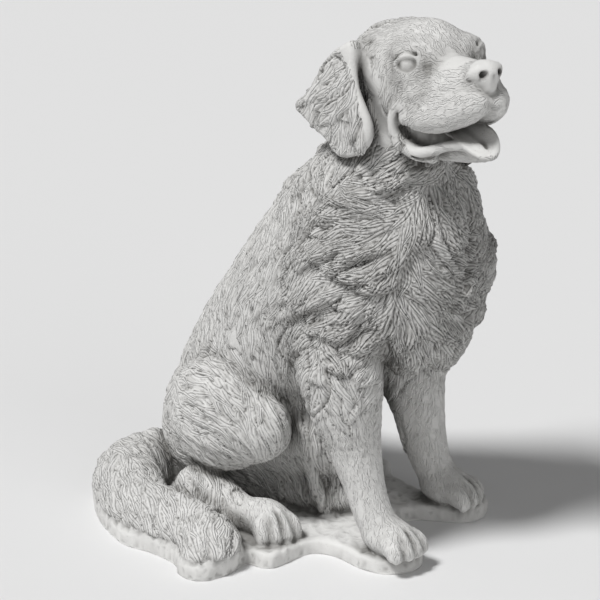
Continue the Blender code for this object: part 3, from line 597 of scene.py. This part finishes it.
class Locks:
    """Locks of hair laid over a surface. Each has a place, a way along it, a side way and an outward way."""

    def __init__(self, points, normals, way, shag, kind, rng):
        order = rng.permutation(len(points))
        cells = np.floor(points[order] / kind["spacing"]).astype(int)
        _, first = np.unique(cells, axis=0, return_index=True)
        seeds = order[np.sort(first)]
        seeds = seeds[(shag[seeds] > kind["from"]) & (shag[seeds] <= kind["to"])]
        size = kind["least"] + (1 - kind["least"]) * shag[seeds]
        luck = rng.random((len(seeds), 4))
        self.centre, self.up = points[seeds], normals[seeds]
        self.along = unit_rows(way[seeds] - self.up * (way[seeds] * self.up).sum(1, keepdims=True))
        self.side = np.cross(self.up, self.along)
        self.long = kind["length"] * size * (LEAST_LUCK + MORE_LUCK * luck[:, 0])
        self.half = kind["width"] * size * (LEAST_LUCK + MORE_LUCK * luck[:, 1]) / 2
        self.depth = kind["depth"] * size
        self.luck = luck
        strands = np.round(self.half * 2 / kind["strand"] + luck[:, 3] * STRAND_LUCK)
        self.strands = strands.clip(FEWEST_STRANDS, MOST_STRANDS)
        self.reach = LOCK_REACH * kind["length"]
        self.relief = kind["relief"]
        self.least_shag = kind["from"]

    def over(self, places, outward, shag):
        """For each lock: the places it covers, how far across it they are, and its height there."""
        bins = np.floor(places / self.reach).astype(int)
        origin = bins.min(0) - 1
        bins -= origin
        shape = bins.max(0) + 2
        key = (bins[:, 0] * shape[1] + bins[:, 1]) * shape[2] + bins[:, 2]
        by_key = np.argsort(key, kind="stable")
        starts = np.searchsorted(key[by_key], np.arange(shape.prod() + 1))
        home = np.floor(self.centre / self.reach).astype(int) - origin
        for n in range(len(self.centre)):
            x, y, z = home[n]
            if min(x, y, z) < 1 or x >= shape[0] - 1 or y >= shape[1] - 1 or z >= shape[2] - 1:
                continue
            near = []
            for i in (-1, 0, 1):
                for j in (-1, 0, 1):
                    row = ((x + i) * shape[1] + y + j) * shape[2] + z
                    near.append(by_key[starts[row - 1]:starts[row + 2]])
            near = np.concatenate(near)
            if not len(near):
                continue
            s, t = self.spread(n, places[near])
            good = (s > 0) & (s < 1) & (np.abs(t) < 1)
            good &= np.abs((places[near] - self.centre[n]) @ self.up[n]) < self.half[n] * 2
            good &= outward[near] @ self.up[n] > OUTWARD_SHARE
            good &= shag[near] > 0
            s, t, near = s[good], t[good], near[good]
            rise = np.clip(s / TIP_START, 0, 1) * np.clip((1 - s) / TIP_LENGTH, 0, 1) ** 0.5
            fade = np.clip(shag[near] / self.least_shag, 0, 1)
            height = self.depth[n] * (1 - t**2) ** 0.5 * (ROOT_RISE + (1 - ROOT_RISE) * rise)
            yield n, near, t, height * fade

    def spread(self, n, places):
        """How far along lock n and across it the places are: along from 0 to 1, across from -1 to 1."""
        away = places - self.centre[n]
        s = away @ self.along[n] / self.long[n] + 0.5
        wave = self.half[n] * WAVE * np.sin(6 * s + 6 * self.luck[n, 3])
        bend = (self.luck[n, 2] - 0.5) * BEND * self.long[n] * (s - 0.5) ** 2 + wave
        reach = self.half[n] * np.sqrt(np.clip(1 - s**2, 0, 1)) * np.clip(s * TAPER, 0.05, 1) ** 0.5
        return s, (away @ self.side[n] - bend) / (reach + 1e-6)


# Bare places of the head in its own frame, each a middle and how far it reaches along X, Y and Z
BARE_PLACES = (
    (62, -47, 11, 17, 16, 17), (62, 47, 11, 17, 16, 17), (168, 0, -4, 22, 25, 19),
    (168, 0, -22, 16, 12, 14), (100, 0, -84, 62, 36, 15), (138, 0, -92, 26, 26, 16),
    (60, -40, -88, 28, 14, 20), (60, 40, -88, 28, 14, 20),
    (36, -62, -60, 16, 12, 18), (36, 62, -60, 16, 12, 18),
)
EAR_FOLD = ((8, 34), (24, 10), (33, -30), (38, -64), (34, -86))
FOLD_WIDTH, FOLD_DEPTH = 9, 22
# How shaggy the calmer places are at most, the tail just so, and the paws at least
FACE_SHAG = 0.1
EAR_SHAG = 0.38
LEG_SHAG, LEG_SHAG_RISE = 0.115, 0.004
CALM_SHAG = 0.32
TAIL_SHAG = 0.46
PAW_SHAG = 0.07
# The edges of those places: in the head's own frame for the face and ears, and in the figure's for the rest
FACE_BACK, JAW_BACK, FACE_BOTTOM, JAW_TOP, FACE_WIDTH = -20, 10, -118, -70, 64
EAR_SIDE, EAR_BOTTOM = 60, -105
BIB_BOTTOM, RUFF_BOTTOM, CHEST_BACK = 235, 420, 60
TAIL_TOP, TAIL_SIDE, RUMP_BACK = 92, -140, -172
LEG_BACK, LEG_INSIDE, LEG_RISE_START = 118, 40, 150


def groomed(points, shag):
    """How shaggy the hair is at last: short on the face, legs and paws, none on eyes, nose and mouth."""
    head = (points - np.array(HEAD_PLACE)) @ HEAD_TURN
    wide = np.abs(head[:, 1])
    face = (head[:, 0] > FACE_BACK) & (wide < FACE_WIDTH + 0.1 * head[:, 2]) & (head[:, 2] > FACE_BOTTOM)
    face &= (head[:, 2] > JAW_TOP) | (head[:, 0] > JAW_BACK)
    shag = np.where(face, np.minimum(shag, FACE_SHAG), shag)
    x, y, z = points.T
    calm = (z < BIB_BOTTOM) | (z < RUFF_BOTTOM) & (x < CHEST_BACK)
    shag = np.where(calm, np.minimum(shag, CALM_SHAG), shag)
    tail_hair = (z < TAIL_TOP) & ((y < TAIL_SIDE) | (x < RUMP_BACK))
    shag = np.where(tail_hair, TAIL_SHAG, shag) * (shag > 0)
    leg = (x > LEG_BACK) & (z < BIB_BOTTOM) & (np.abs(y) > LEG_INSIDE)
    leg_shag = LEG_SHAG + LEG_SHAG_RISE * np.maximum(z - LEG_RISE_START, 0)
    shag = np.where(leg, np.minimum(shag, leg_shag), shag)
    paw = low_down(points) & (z > BARE_TOP)
    shag = np.where(paw, np.maximum(shag, PAW_SHAG), shag)
    for *middle, x, y, z in BARE_PLACES:
        far = (((head - middle) / [x, y, z]) ** 2).sum(1)
        shag = np.where(far < 1, 0, shag)
    shag = np.where((wide > EAR_SIDE) & (head[:, 2] > EAR_BOTTOM), np.minimum(shag, EAR_SHAG), shag)
    for side in SIDES:
        leaf = (head - np.array(EAR_PLACE[side])) @ turned(0, 0, -side * EAR_YAW)
        near = np.full(len(leaf), REACH)
        fold = np.array(EAR_FOLD, float)
        for a, b in zip(fold[:-1], fold[1:]):
            t = np.clip(((leaf[:, [0, 2]] - a) @ (b - a)) / ((b - a) ** 2).sum(), 0, 1)
            near = np.minimum(near, np.hypot(*(leaf[:, [0, 2]] - a - t[:, None] * (b - a)).T))
        shag = np.where((near < FOLD_WIDTH) & (np.abs(leaf[:, 1]) < FOLD_DEPTH), 0, shag)
    return shag


# Height of the base's lumps, and the number, radii and depth share of its pits
LUMP_HEIGHT = 1.5
PITS = 260
PIT_RADII = (1.5, 4)
PIT_SHARE = 0.45


def base_relief(points, seed):
    """Low lumps and small pits over the top and the rim of the base."""
    height = np.zeros(len(points))
    low = np.flatnonzero((points[:, 2] < 4) & (points[:, 2] > 1 - BASE_UNITS))
    x, y = points[low, 0], points[low, 1]
    lumps = np.sin(x / 8 + 2 * np.sin(y / 13)) * np.sin(y / 7 + 2 * np.sin(x / 11))
    lumps += 0.5 * np.sin(x / 3.5 + 2 * np.sin(y / 5)) * np.sin(y / 4 + 2 * np.sin(x / 6))
    height[low] = LUMP_HEIGHT * lumps
    rng = np.random.default_rng(seed)
    for pit in low[rng.integers(0, len(low), PITS)]:
        radius = rng.uniform(*PIT_RADII)
        far = ((points[low] - points[pit]) ** 2).sum(1)
        height[low] -= PIT_SHARE * radius * np.exp(-far / radius**2)
    return height


def lay_locks(points, normals, seed):
    """Every kind of lock over the surface, and how far they stand out in all."""
    way, shag = combed(points)
    shag = groomed(points, shag)
    rng = np.random.default_rng(seed)
    kinds = [Locks(points, normals, way, shag, kind, rng) for kind in LOCK_KINDS]
    height = np.zeros(len(points))
    for locks in kinds:
        layer = np.zeros(len(points))
        for n, near, t, value in locks.over(points, normals, shag):
            ridges = np.abs(np.sin(np.pi * locks.strands[n] * (t + 1) / 2)) ** STRAND_ROUND
            ridges = 1 - STRAND_SHARE + STRAND_SHARE * ridges
            layer[near] = np.maximum(layer[near], value * ridges)
        height += layer - BED_SHARE * locks.depth.max() * (layer > 0)
    return kinds, height


def vertex_rows(mesh, name):
    """One row of three values for each vertex."""
    rows = np.empty(len(mesh.vertices) * 3)
    mesh.vertices.foreach_get(name, rows)
    return rows.reshape(-1, 3)


# How much finer kinds of lock come first in the paint, and how far past a lock's edge its strands go on
FINE_FIRST = 0.5
EDGE_END, EDGE_FADE = 1.3, 1.25
LOCK_STEP, LOCK_TURNS = 10, 7


def strand_paint(mesh, kinds):
    """Paints each triangle with the phase across its lock's strands, its edge and its relief."""
    count = len(mesh.polygons)
    corners = np.empty(count * 3, np.int32)
    mesh.polygons.foreach_get("vertices", corners)
    corners = corners.reshape(-1, 3)
    points = vertex_rows(mesh, "co") / UNIT
    a, b, c = points[corners[:, 0]], points[corners[:, 1]], points[corners[:, 2]]
    outward = unit_rows(np.cross(b - a, c - a))
    centre = (a + b + c) / 3
    shag = groomed(centre, combed(centre)[1])
    paint = np.zeros((count, 3, 3), np.float32)
    paint[:, :, 0] = 0.5
    for rank, locks in enumerate(kinds):
        here = np.zeros(count)
        for n, near, _, value in locks.over(centre, outward, shag):
            value = value * (1 + FINE_FIRST * rank)
            win = value > here[near]
            near = near[win]
            here[near] = value[win]
            for corner in range(3):
                _, across = locks.spread(n, points[corners[near, corner]])
                edge = np.clip(across, -EDGE_END, EDGE_END)
                paint[near, corner, 0] = (edge + 1) * locks.strands[n] / 2 + LOCK_STEP + n % LOCK_TURNS
                paint[near, corner, 1] = np.clip(EDGE_FADE - np.abs(edge), 0, 1)
                paint[near, corner, 2] = locks.relief * locks.depth[n] / locks.depth.max()
    layer = mesh.attributes.new("hair", "FLOAT_VECTOR", "CORNER")
    layer.data.foreach_set("vector", paint.reshape(-1))


# How far in front of the stone its hollows are felt for their painted shade, and with what share
HOLLOW_SHADE_REACH = ((4, 0.6), (10, 0.4), (22, 0.35))
BEND_SHADE_SHARE = 1.6


def paint_hollow_shade(mesh):
    """Paints shade by how deep each vertex lies in the hollows, by the space before it and by its neighbours.
    """
    count = len(mesh.vertices)
    points, normals = vertex_rows(mesh, "co") / UNIT, vertex_rows(mesh, "normal")
    here = block_field(points)
    closed = np.zeros(count)
    for reach, share in HOLLOW_SHADE_REACH:
        closed += share * np.clip(1 - (block_field(points + normals * reach) - here) / reach, 0, 1)
    ends = np.empty(len(mesh.edges) * 2, np.int32)
    mesh.edges.foreach_get("vertices", ends)
    first, second = ends.reshape(-1, 2).T
    bend = np.zeros(count)
    for a, b in ((first, second), (second, first)):
        away = points[b] - points[a]
        slope = (away * normals[a]).sum(1) / (np.linalg.norm(away, axis=1) + 1e-6)
        bend += np.bincount(a, slope, count)
    bend /= np.maximum(np.bincount(ends, minlength=count), 1)
    # Painted shade: the more closed in and the more bent inward a vertex is, the darker it is painted
    hollow_shade = np.clip(closed + BEND_SHADE_SHARE * np.clip(bend, 0, 1), 0, 1)
    hollow_shade[points[:, 2] < 1 - BASE_UNITS] = 0
    layer = mesh.attributes.new("hollow_shade", "FLOAT", "POINT")
    layer.data.foreach_set("value", hollow_shade.astype(np.float32))


# The head is sampled on a finer grid: space grows round its middle, from the neck up
HEAD_GROWTH = 1.5
NECK_HEIGHT = 505.0
GROWTH_SPAN = 60.0
HEAD_MIDDLE = (190.0, -12.0)


def shrunk(grid):
    """From the grown space of the grid to the figure's own, and how much it had grown there."""
    rise = np.maximum(grid[:, 2] - NECK_HEIGHT, 0)
    growth = 1 + (HEAD_GROWTH - 1) * np.clip(rise / GROWTH_SPAN, 0, 1)
    points = grid.copy()
    points[:, 2] -= rise * (1 - 1 / HEAD_GROWTH)
    for axis, middle in enumerate(HEAD_MIDDLE):
        points[:, axis] = middle + (grid[:, axis] - middle) / growth
    return points, growth


def sculpt(step, triangles, seed):
    """The finished casting: sculpted, combed, thinned out and cut flat underneath."""
    low, high = np.array(FIELD_LOW), np.array(FIELD_HIGH)

    def field(grid):
        points, growth = shrunk(grid)
        return block_field(points) * growth

    points, faces = surface(field, low, high, step)
    points, _ = shrunk(points)
    normals = normals_of(points, faces)
    kinds, height = lay_locks(points, normals, seed)
    points = points + normals * (height + base_relief(points, seed))[:, None]
    mesh = bpy.data.meshes.new("draft")
    mesh.from_pydata((points * UNIT).tolist(), [], faces.tolist())
    draft = bpy.data.objects.new("draft", mesh)
    bpy.context.scene.collection.objects.link(draft)
    thin = draft.modifiers.new("Fewer faces", "DECIMATE")
    thin.ratio = min(triangles / (2 * len(faces)), 1.0)
    cast = bmesh.new()
    cast.from_object(draft, bpy.context.evaluated_depsgraph_get())
    bpy.data.objects.remove(draft)
    whole = cast.verts[:] + cast.edges[:] + cast.faces[:]
    under = (0, 0, -BASE_UNITS * UNIT)
    cut = bmesh.ops.bisect_plane(cast, geom=whole, plane_co=under, plane_no=(0, 0, 1), clear_inner=True)
    rim = [part for part in cut["geom_cut"] if isinstance(part, bmesh.types.BMEdge)]
    bmesh.ops.holes_fill(cast, edges=rim, sides=0)
    bmesh.ops.triangulate(cast, faces=cast.faces[:])
    bmesh.ops.recalc_face_normals(cast, faces=cast.faces[:])
    mesh = bpy.data.meshes.new("dog statue")
    cast.to_mesh(mesh)
    cast.free()
    mesh.shade_smooth()
    strand_paint(mesh, kinds)
    paint_hollow_shade(mesh)
    return mesh


def new_group(name, inputs, outputs):
    """An empty shader group with the named sockets."""
    group = bpy.data.node_groups.new(name, "ShaderNodeTree")
    for title, kind, value in inputs:
        group.interface.new_socket(title, in_out="INPUT", socket_type=kind).default_value = value
    for title, kind in outputs:
        group.interface.new_socket(title, in_out="OUTPUT", socket_type=kind)
    return group, group.nodes.new("NodeGroupInput"), group.nodes.new("NodeGroupOutput")


def math_node(group, operation, first, second=None, clamp=False):
    """A math node whose inputs are sockets or numbers."""
    node = group.nodes.new("ShaderNodeMath")
    node.operation, node.use_clamp = operation, clamp
    for socket, value in zip(node.inputs, (first, second)):
        if isinstance(value, bpy.types.NodeSocket):
            group.links.new(value, socket)
        elif value is not None:
            socket.default_value = value
    return node.outputs[0]


def noise(group, where, scale, detail):
    """A noise texture in object space."""
    node = group.nodes.new("ShaderNodeTexNoise")
    node.inputs["Scale"].default_value = scale
    node.inputs["Detail"].default_value = detail
    group.links.new(where, node.inputs["Vector"])
    return node.outputs["Fac"]


# Shape of the strands' ridges and of the painted shade along the rim between locks
RIDGE_ROUND = 0.55
RIM_SHADE_SHARPNESS, RIM_SHADE_SHARE = 1.5, 0.7
# Size, rarity and depth of the pits, and height of the grain
PIT_SIZE, PIT_RARITY, PIT_DEPTH = 0.22, 0.56, 4.0
GRAIN_HEIGHT = 0.5
# The stone's shine, the strength of its grain, and how much painted shade darkens its grooves, hollows and
# pits
STONE_ROUGHNESS, STONE_SPECULAR = 0.92, 0.25
GRAIN_STRENGTH = 0.7
GROOVE_SHADE_SHARE, HOLLOW_SHADE_SHARE, PIT_SHADE_SHARE = 0.4, 0.9, 0.5


def strand_group():
    """Height of the strands within each lock, from the paint on the mesh, and the painted shade in the
    grooves between strands and along the rims of the locks.
    """
    group, given, put = new_group("Hair strands", [("Waviness", "NodeSocketFloat", 0.25)],
                                  [("Height", "NodeSocketFloat"), ("Painted shade", "NodeSocketFloat")])
    maths = partial(math_node, group)
    hair = group.nodes.new("ShaderNodeAttribute")
    hair.attribute_name = "hair"
    parts = group.nodes.new("ShaderNodeSeparateXYZ")
    group.links.new(hair.outputs["Vector"], parts.inputs[0])
    phase, edge, relief = parts.outputs
    where = group.nodes.new("ShaderNodeTexCoord").outputs["Object"]
    wobble = maths("SUBTRACT", noise(group, where, scale=90, detail=2), 0.5)
    phase = maths("ADD", phase, maths("MULTIPLY", wobble, given.outputs["Waviness"]))
    ridge = maths("ABSOLUTE", maths("SINE", maths("MULTIPLY", phase, math.pi)))
    valley = maths("SUBTRACT", 1.0, maths("POWER", ridge, RIDGE_ROUND))
    groove = maths("MULTIPLY", valley, maths("MULTIPLY", edge, relief, clamp=True))
    # Painted shade: dark along the rim of each lock, and in the grooves between its strands
    rim = maths("SUBTRACT", 1.0, maths("MULTIPLY", edge, RIM_SHADE_SHARPNESS, clamp=True))
    rim = maths("MULTIPLY", maths("MULTIPLY", rim, relief), RIM_SHADE_SHARE)
    group.links.new(maths("SUBTRACT", 1.0, groove), put.inputs["Height"])
    group.links.new(maths("MAXIMUM", groove, rim), put.inputs["Painted shade"])
    return group


def grain_group():
    """Height of the stone's grain and its small pits, a broad tone, and where the pits are, for the painted
    shade in them.
    """
    group, given, put = new_group("Cast grain", [("Pits", "NodeSocketFloat", 0.6)],
                                  [("Height", "NodeSocketFloat"), ("Tone", "NodeSocketFloat"),
                                   ("Pit", "NodeSocketFloat")])
    maths = partial(math_node, group)
    where = group.nodes.new("ShaderNodeTexCoord").outputs["Object"]
    cells = group.nodes.new("ShaderNodeTexVoronoi")
    cells.inputs["Scale"].default_value = 240
    group.links.new(where, cells.inputs["Vector"])
    pit = maths("SUBTRACT", PIT_SIZE, cells.outputs["Distance"], clamp=True)
    rare = maths("GREATER_THAN", noise(group, where, scale=55, detail=1), PIT_RARITY)
    pit = maths("MULTIPLY", maths("MULTIPLY", pit, rare), given.outputs["Pits"])
    fine = maths("MULTIPLY", noise(group, where, scale=430, detail=3), GRAIN_HEIGHT)
    height = maths("SUBTRACT", fine, maths("MULTIPLY", pit, PIT_DEPTH))
    group.links.new(height, put.inputs["Height"])
    group.links.new(noise(group, where, scale=14, detail=3), put.inputs["Tone"])
    group.links.new(maths("MULTIPLY", pit, PIT_DEPTH, clamp=True), put.inputs["Pit"])
    return group


def bump(tree, height, depth, strength=1.0, normal=None):
    """A bump node, on top of another bump where a normal is given."""
    node = tree.nodes.new("ShaderNodeBump")
    node.inputs["Distance"].default_value = depth
    node.inputs["Strength"].default_value = strength
    tree.links.new(height, node.inputs["Height"])
    if normal:
        tree.links.new(normal, node.inputs["Normal"])
    return node.outputs["Normal"]


def mixed(tree, factor, colour):
    """A colour mix with its second colour set, and its first one still open."""
    node = tree.nodes.new("ShaderNodeMix")
    node.data_type = "RGBA"
    node.inputs["B"].default_value = (*colour, 1)
    tree.links.new(factor, node.inputs["Factor"])
    return node


def stone_material(settings):
    """Pale matt cast stone, with painted shade in the grooves of the hair, in hollows and in pits."""
    material = bpy.data.materials.new("cast stone")
    material.use_nodes = True
    tree = material.node_tree
    maths = partial(math_node, tree)
    shader = tree.nodes["Principled BSDF"]
    shader.inputs["Roughness"].default_value = STONE_ROUGHNESS
    shader.inputs["Specular IOR Level"].default_value = STONE_SPECULAR
    strands = tree.nodes.new("ShaderNodeGroup")
    strands.node_tree = strand_group()
    grain = tree.nodes.new("ShaderNodeGroup")
    grain.node_tree = grain_group()
    rough = bump(tree, grain.outputs["Height"], settings.grain_depth, GRAIN_STRENGTH)
    combed_normal = bump(tree, strands.outputs["Height"], settings.strand_depth, normal=rough)
    tree.links.new(combed_normal, shader.inputs["Normal"])
    hollow_shade = tree.nodes.new("ShaderNodeAttribute")
    hollow_shade.attribute_name = "hollow_shade"
    # Painted shade: the grooves, the rims of the locks, the hollows and the pits are mixed towards the dark
    # shade colour
    painted_shade = maths("MULTIPLY", strands.outputs["Painted shade"], GROOVE_SHADE_SHARE)
    painted_shade = maths("ADD", painted_shade, maths("MULTIPLY", hollow_shade.outputs["Fac"], HOLLOW_SHADE_SHARE))
    painted_shade = maths("ADD", painted_shade, maths("MULTIPLY", grain.outputs["Pit"], PIT_SHADE_SHARE), clamp=True)
    tint = mixed(tree, grain.outputs["Tone"], settings.stone_colour)
    tint.inputs["A"].default_value = (*settings.shade_colour, 1)
    painted_shade_mix = mixed(tree, painted_shade, settings.painted_shade_colour)
    tree.links.new(tint.outputs["Result"], painted_shade_mix.inputs["A"])
    tree.links.new(painted_shade_mix.outputs["Result"], shader.inputs["Base Color"])
    return material


# What the camera looks at, its lens in millimetres and its shift
TARGET = (0.0114, -0.0629, 0.30)
LENS, SENSOR, SHIFT = 198.4, 36, (0.0217, 0.05)
# Where the lights shine from, how soft they are, and how strong the fill and the sky are
KEY_PLACE, KEY_SOFTNESS = (-0.5, -1.6, 2.9), math.radians(14)
FILL_PLACE, FILL_SOFTNESS, FILL_SHARE = (2.8, -0.9, 1.5), math.radians(40), 0.14
SKY_STRENGTH = 0.17
FLOOR_ROUGHNESS = 0.9


def sun(name, place, strength, softness):
    """A broad light that shines from the given side towards the statue."""
    light = bpy.data.lights.new(name, "SUN")
    light.energy, light.angle = strength, softness
    lamp = bpy.data.objects.new(name, light)
    lamp.location = place
    lamp.rotation_euler = (-Vector(place)).to_track_quat("-Z", "Y").to_euler()
    bpy.context.scene.collection.objects.link(lamp)
    return lamp


class StatueSettings(bpy.types.PropertyGroup):
    """Sizes and colours of the statuette's surface."""

    step: FloatProperty(name="Sampling step", description="Grid step of the sculpted surface",
                        default=0.0021, min=0.001, unit="LENGTH")
    triangles: IntProperty(name="Triangles", description="Most triangles of the finished surface",
                           default=194000, min=10000)
    strand_depth: FloatProperty(name="Strand depth", description="How deep the lines between strands are",
                                default=0.0026, min=0, unit="LENGTH")
    grain_depth: FloatProperty(name="Grain depth", description="How deep the grain and pits of the stone are",
                               default=0.0012, min=0, unit="LENGTH")
    seed: IntProperty(name="Seed", description="Chooses the places of the locks", default=4)
    stone_colour: FloatVectorProperty(name="Stone", description="The paler tone of the stone",
                                      subtype="COLOR", default=(0.78, 0.775, 0.76), min=0, max=1)
    shade_colour: FloatVectorProperty(name="Stone shade", description="The darker tone of the stone",
                                      subtype="COLOR", default=(0.66, 0.655, 0.64), min=0, max=1)
    # The colour of the painted shade in grooves, hollows and pits
    painted_shade_colour: FloatVectorProperty(name="Painted shade colour", description="The tone between strands and locks",
                                       subtype="COLOR", default=(0.17, 0.165, 0.155), min=0, max=1)


class StageSettings(bpy.types.PropertyGroup):
    """The camera, the lights and the floor."""

    distance: FloatProperty(name="Camera distance", description="From the camera to its target",
                            default=4.2, unit="LENGTH")
    azimuth: FloatProperty(name="Azimuth", description="Camera angle round the dog, from its right side",
                           default=math.radians(34), unit="ROTATION")
    height_angle: FloatProperty(name="Elevation", description="Camera angle above the floor",
                                default=math.radians(21), unit="ROTATION")
    key_strength: FloatProperty(name="Key light", description="Strength of the main light",
                                default=2.9, min=0)
    floor_size: FloatProperty(name="Floor size", description="Side of the square floor",
                              default=16, min=1, unit="LENGTH")
    floor_colour: FloatVectorProperty(name="Floor", description="Colour of the floor", subtype="COLOR",
                                      default=(0.74, 0.74, 0.74), min=0, max=1)


class STATUETTE_OT_dog(bpy.types.Operator):
    """Sculpts the dog and its base as one casting"""

    bl_idname = "statuette.dog"
    bl_label = "Dog"

    def execute(self, context):
        settings = context.scene.statue_settings
        step = settings.step / UNIT * 1
        mesh = sculpt(step, settings.triangles, settings.seed)
        piece = bpy.data.objects.new("dog", mesh)
        mesh.materials.append(stone_material(settings))
        context.scene.collection.objects.link(piece)
        low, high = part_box("dog_statue")
        corners = np.array([piece.bound_box[0], piece.bound_box[6]])
        middle = corners.mean(0)
        shift = ((low.x + high.x) / 2 - middle[0], (low.y + high.y) / 2 - middle[1], low.z - corners[0][2])
        mesh.transform(Matrix.Translation(shift))
        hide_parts("dog_statue")
        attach(piece, "root")
        return {"FINISHED"}


class STATUETTE_OT_stage(bpy.types.Operator):
    """Lays the floor, sets the lights and places the camera"""

    bl_idname = "statuette.stage"
    bl_label = "Stage"

    def execute(self, context):
        settings = context.scene.stage_settings
        scene = context.scene
        bpy.ops.mesh.primitive_plane_add(size=settings.floor_size)
        floor = context.object
        floor.name = "floor"
        paper = bpy.data.materials.new("pale floor")
        paper.use_nodes = True
        shader = paper.node_tree.nodes["Principled BSDF"]
        shader.inputs["Base Color"].default_value = (*settings.floor_colour, 1)
        shader.inputs["Roughness"].default_value = FLOOR_ROUGHNESS
        floor.data.materials.append(paper)
        turn, lift = settings.azimuth, settings.height_angle
        away = Vector((math.cos(lift) * math.sin(turn), -math.cos(lift) * math.cos(turn), math.sin(lift)))
        camera = bpy.data.objects.new("camera", bpy.data.cameras.new("camera"))
        camera.location = Vector(TARGET) + away * settings.distance
        camera.rotation_euler = (-away).to_track_quat("-Z", "Y").to_euler()
        camera.data.lens, camera.data.sensor_width = LENS, SENSOR
        camera.data.shift_x, camera.data.shift_y = SHIFT
        scene.collection.objects.link(camera)
        scene.camera = camera
        sun("key", KEY_PLACE, settings.key_strength, KEY_SOFTNESS)
        sun("fill", FILL_PLACE, settings.key_strength * FILL_SHARE, FILL_SOFTNESS)
        world = bpy.data.worlds.new("studio")
        world.use_nodes = True
        sky = world.node_tree.nodes["Background"]
        sky.inputs["Color"].default_value = (1, 1, 1, 1)
        sky.inputs["Strength"].default_value = SKY_STRENGTH
        scene.world = world
        scene.view_settings.view_transform = "Standard"
        return {"FINISHED"}


class STATUETTE_PT_panel(bpy.types.Panel):
    """The statuette's settings and buttons"""

    bl_label = "Statuette"
    bl_space_type = "VIEW_3D"
    bl_region_type = "UI"
    bl_category = "Statuette"

    def draw(self, context):
        for settings in (context.scene.statue_settings, context.scene.stage_settings):
            for name in settings.__annotations__:
                self.layout.prop(settings, name)
        self.layout.operator("statuette.dog")
        self.layout.operator("statuette.stage")


CLASSES = (StatueSettings, StageSettings, STATUETTE_OT_dog, STATUETTE_OT_stage, STATUETTE_PT_panel)


def register():
    for item in CLASSES:
        bpy.utils.register_class(item)
    bpy.types.Scene.statue_settings = PointerProperty(type=StatueSettings)
    bpy.types.Scene.stage_settings = PointerProperty(type=StageSettings)


def unregister():
    del bpy.types.Scene.stage_settings
    del bpy.types.Scene.statue_settings
    for item in reversed(CLASSES):
        bpy.utils.unregister_class(item)


def main():
    register()
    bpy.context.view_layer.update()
    bpy.ops.statuette.dog()
    bpy.ops.statuette.stage()


if __name__ == "__main__":
    main()
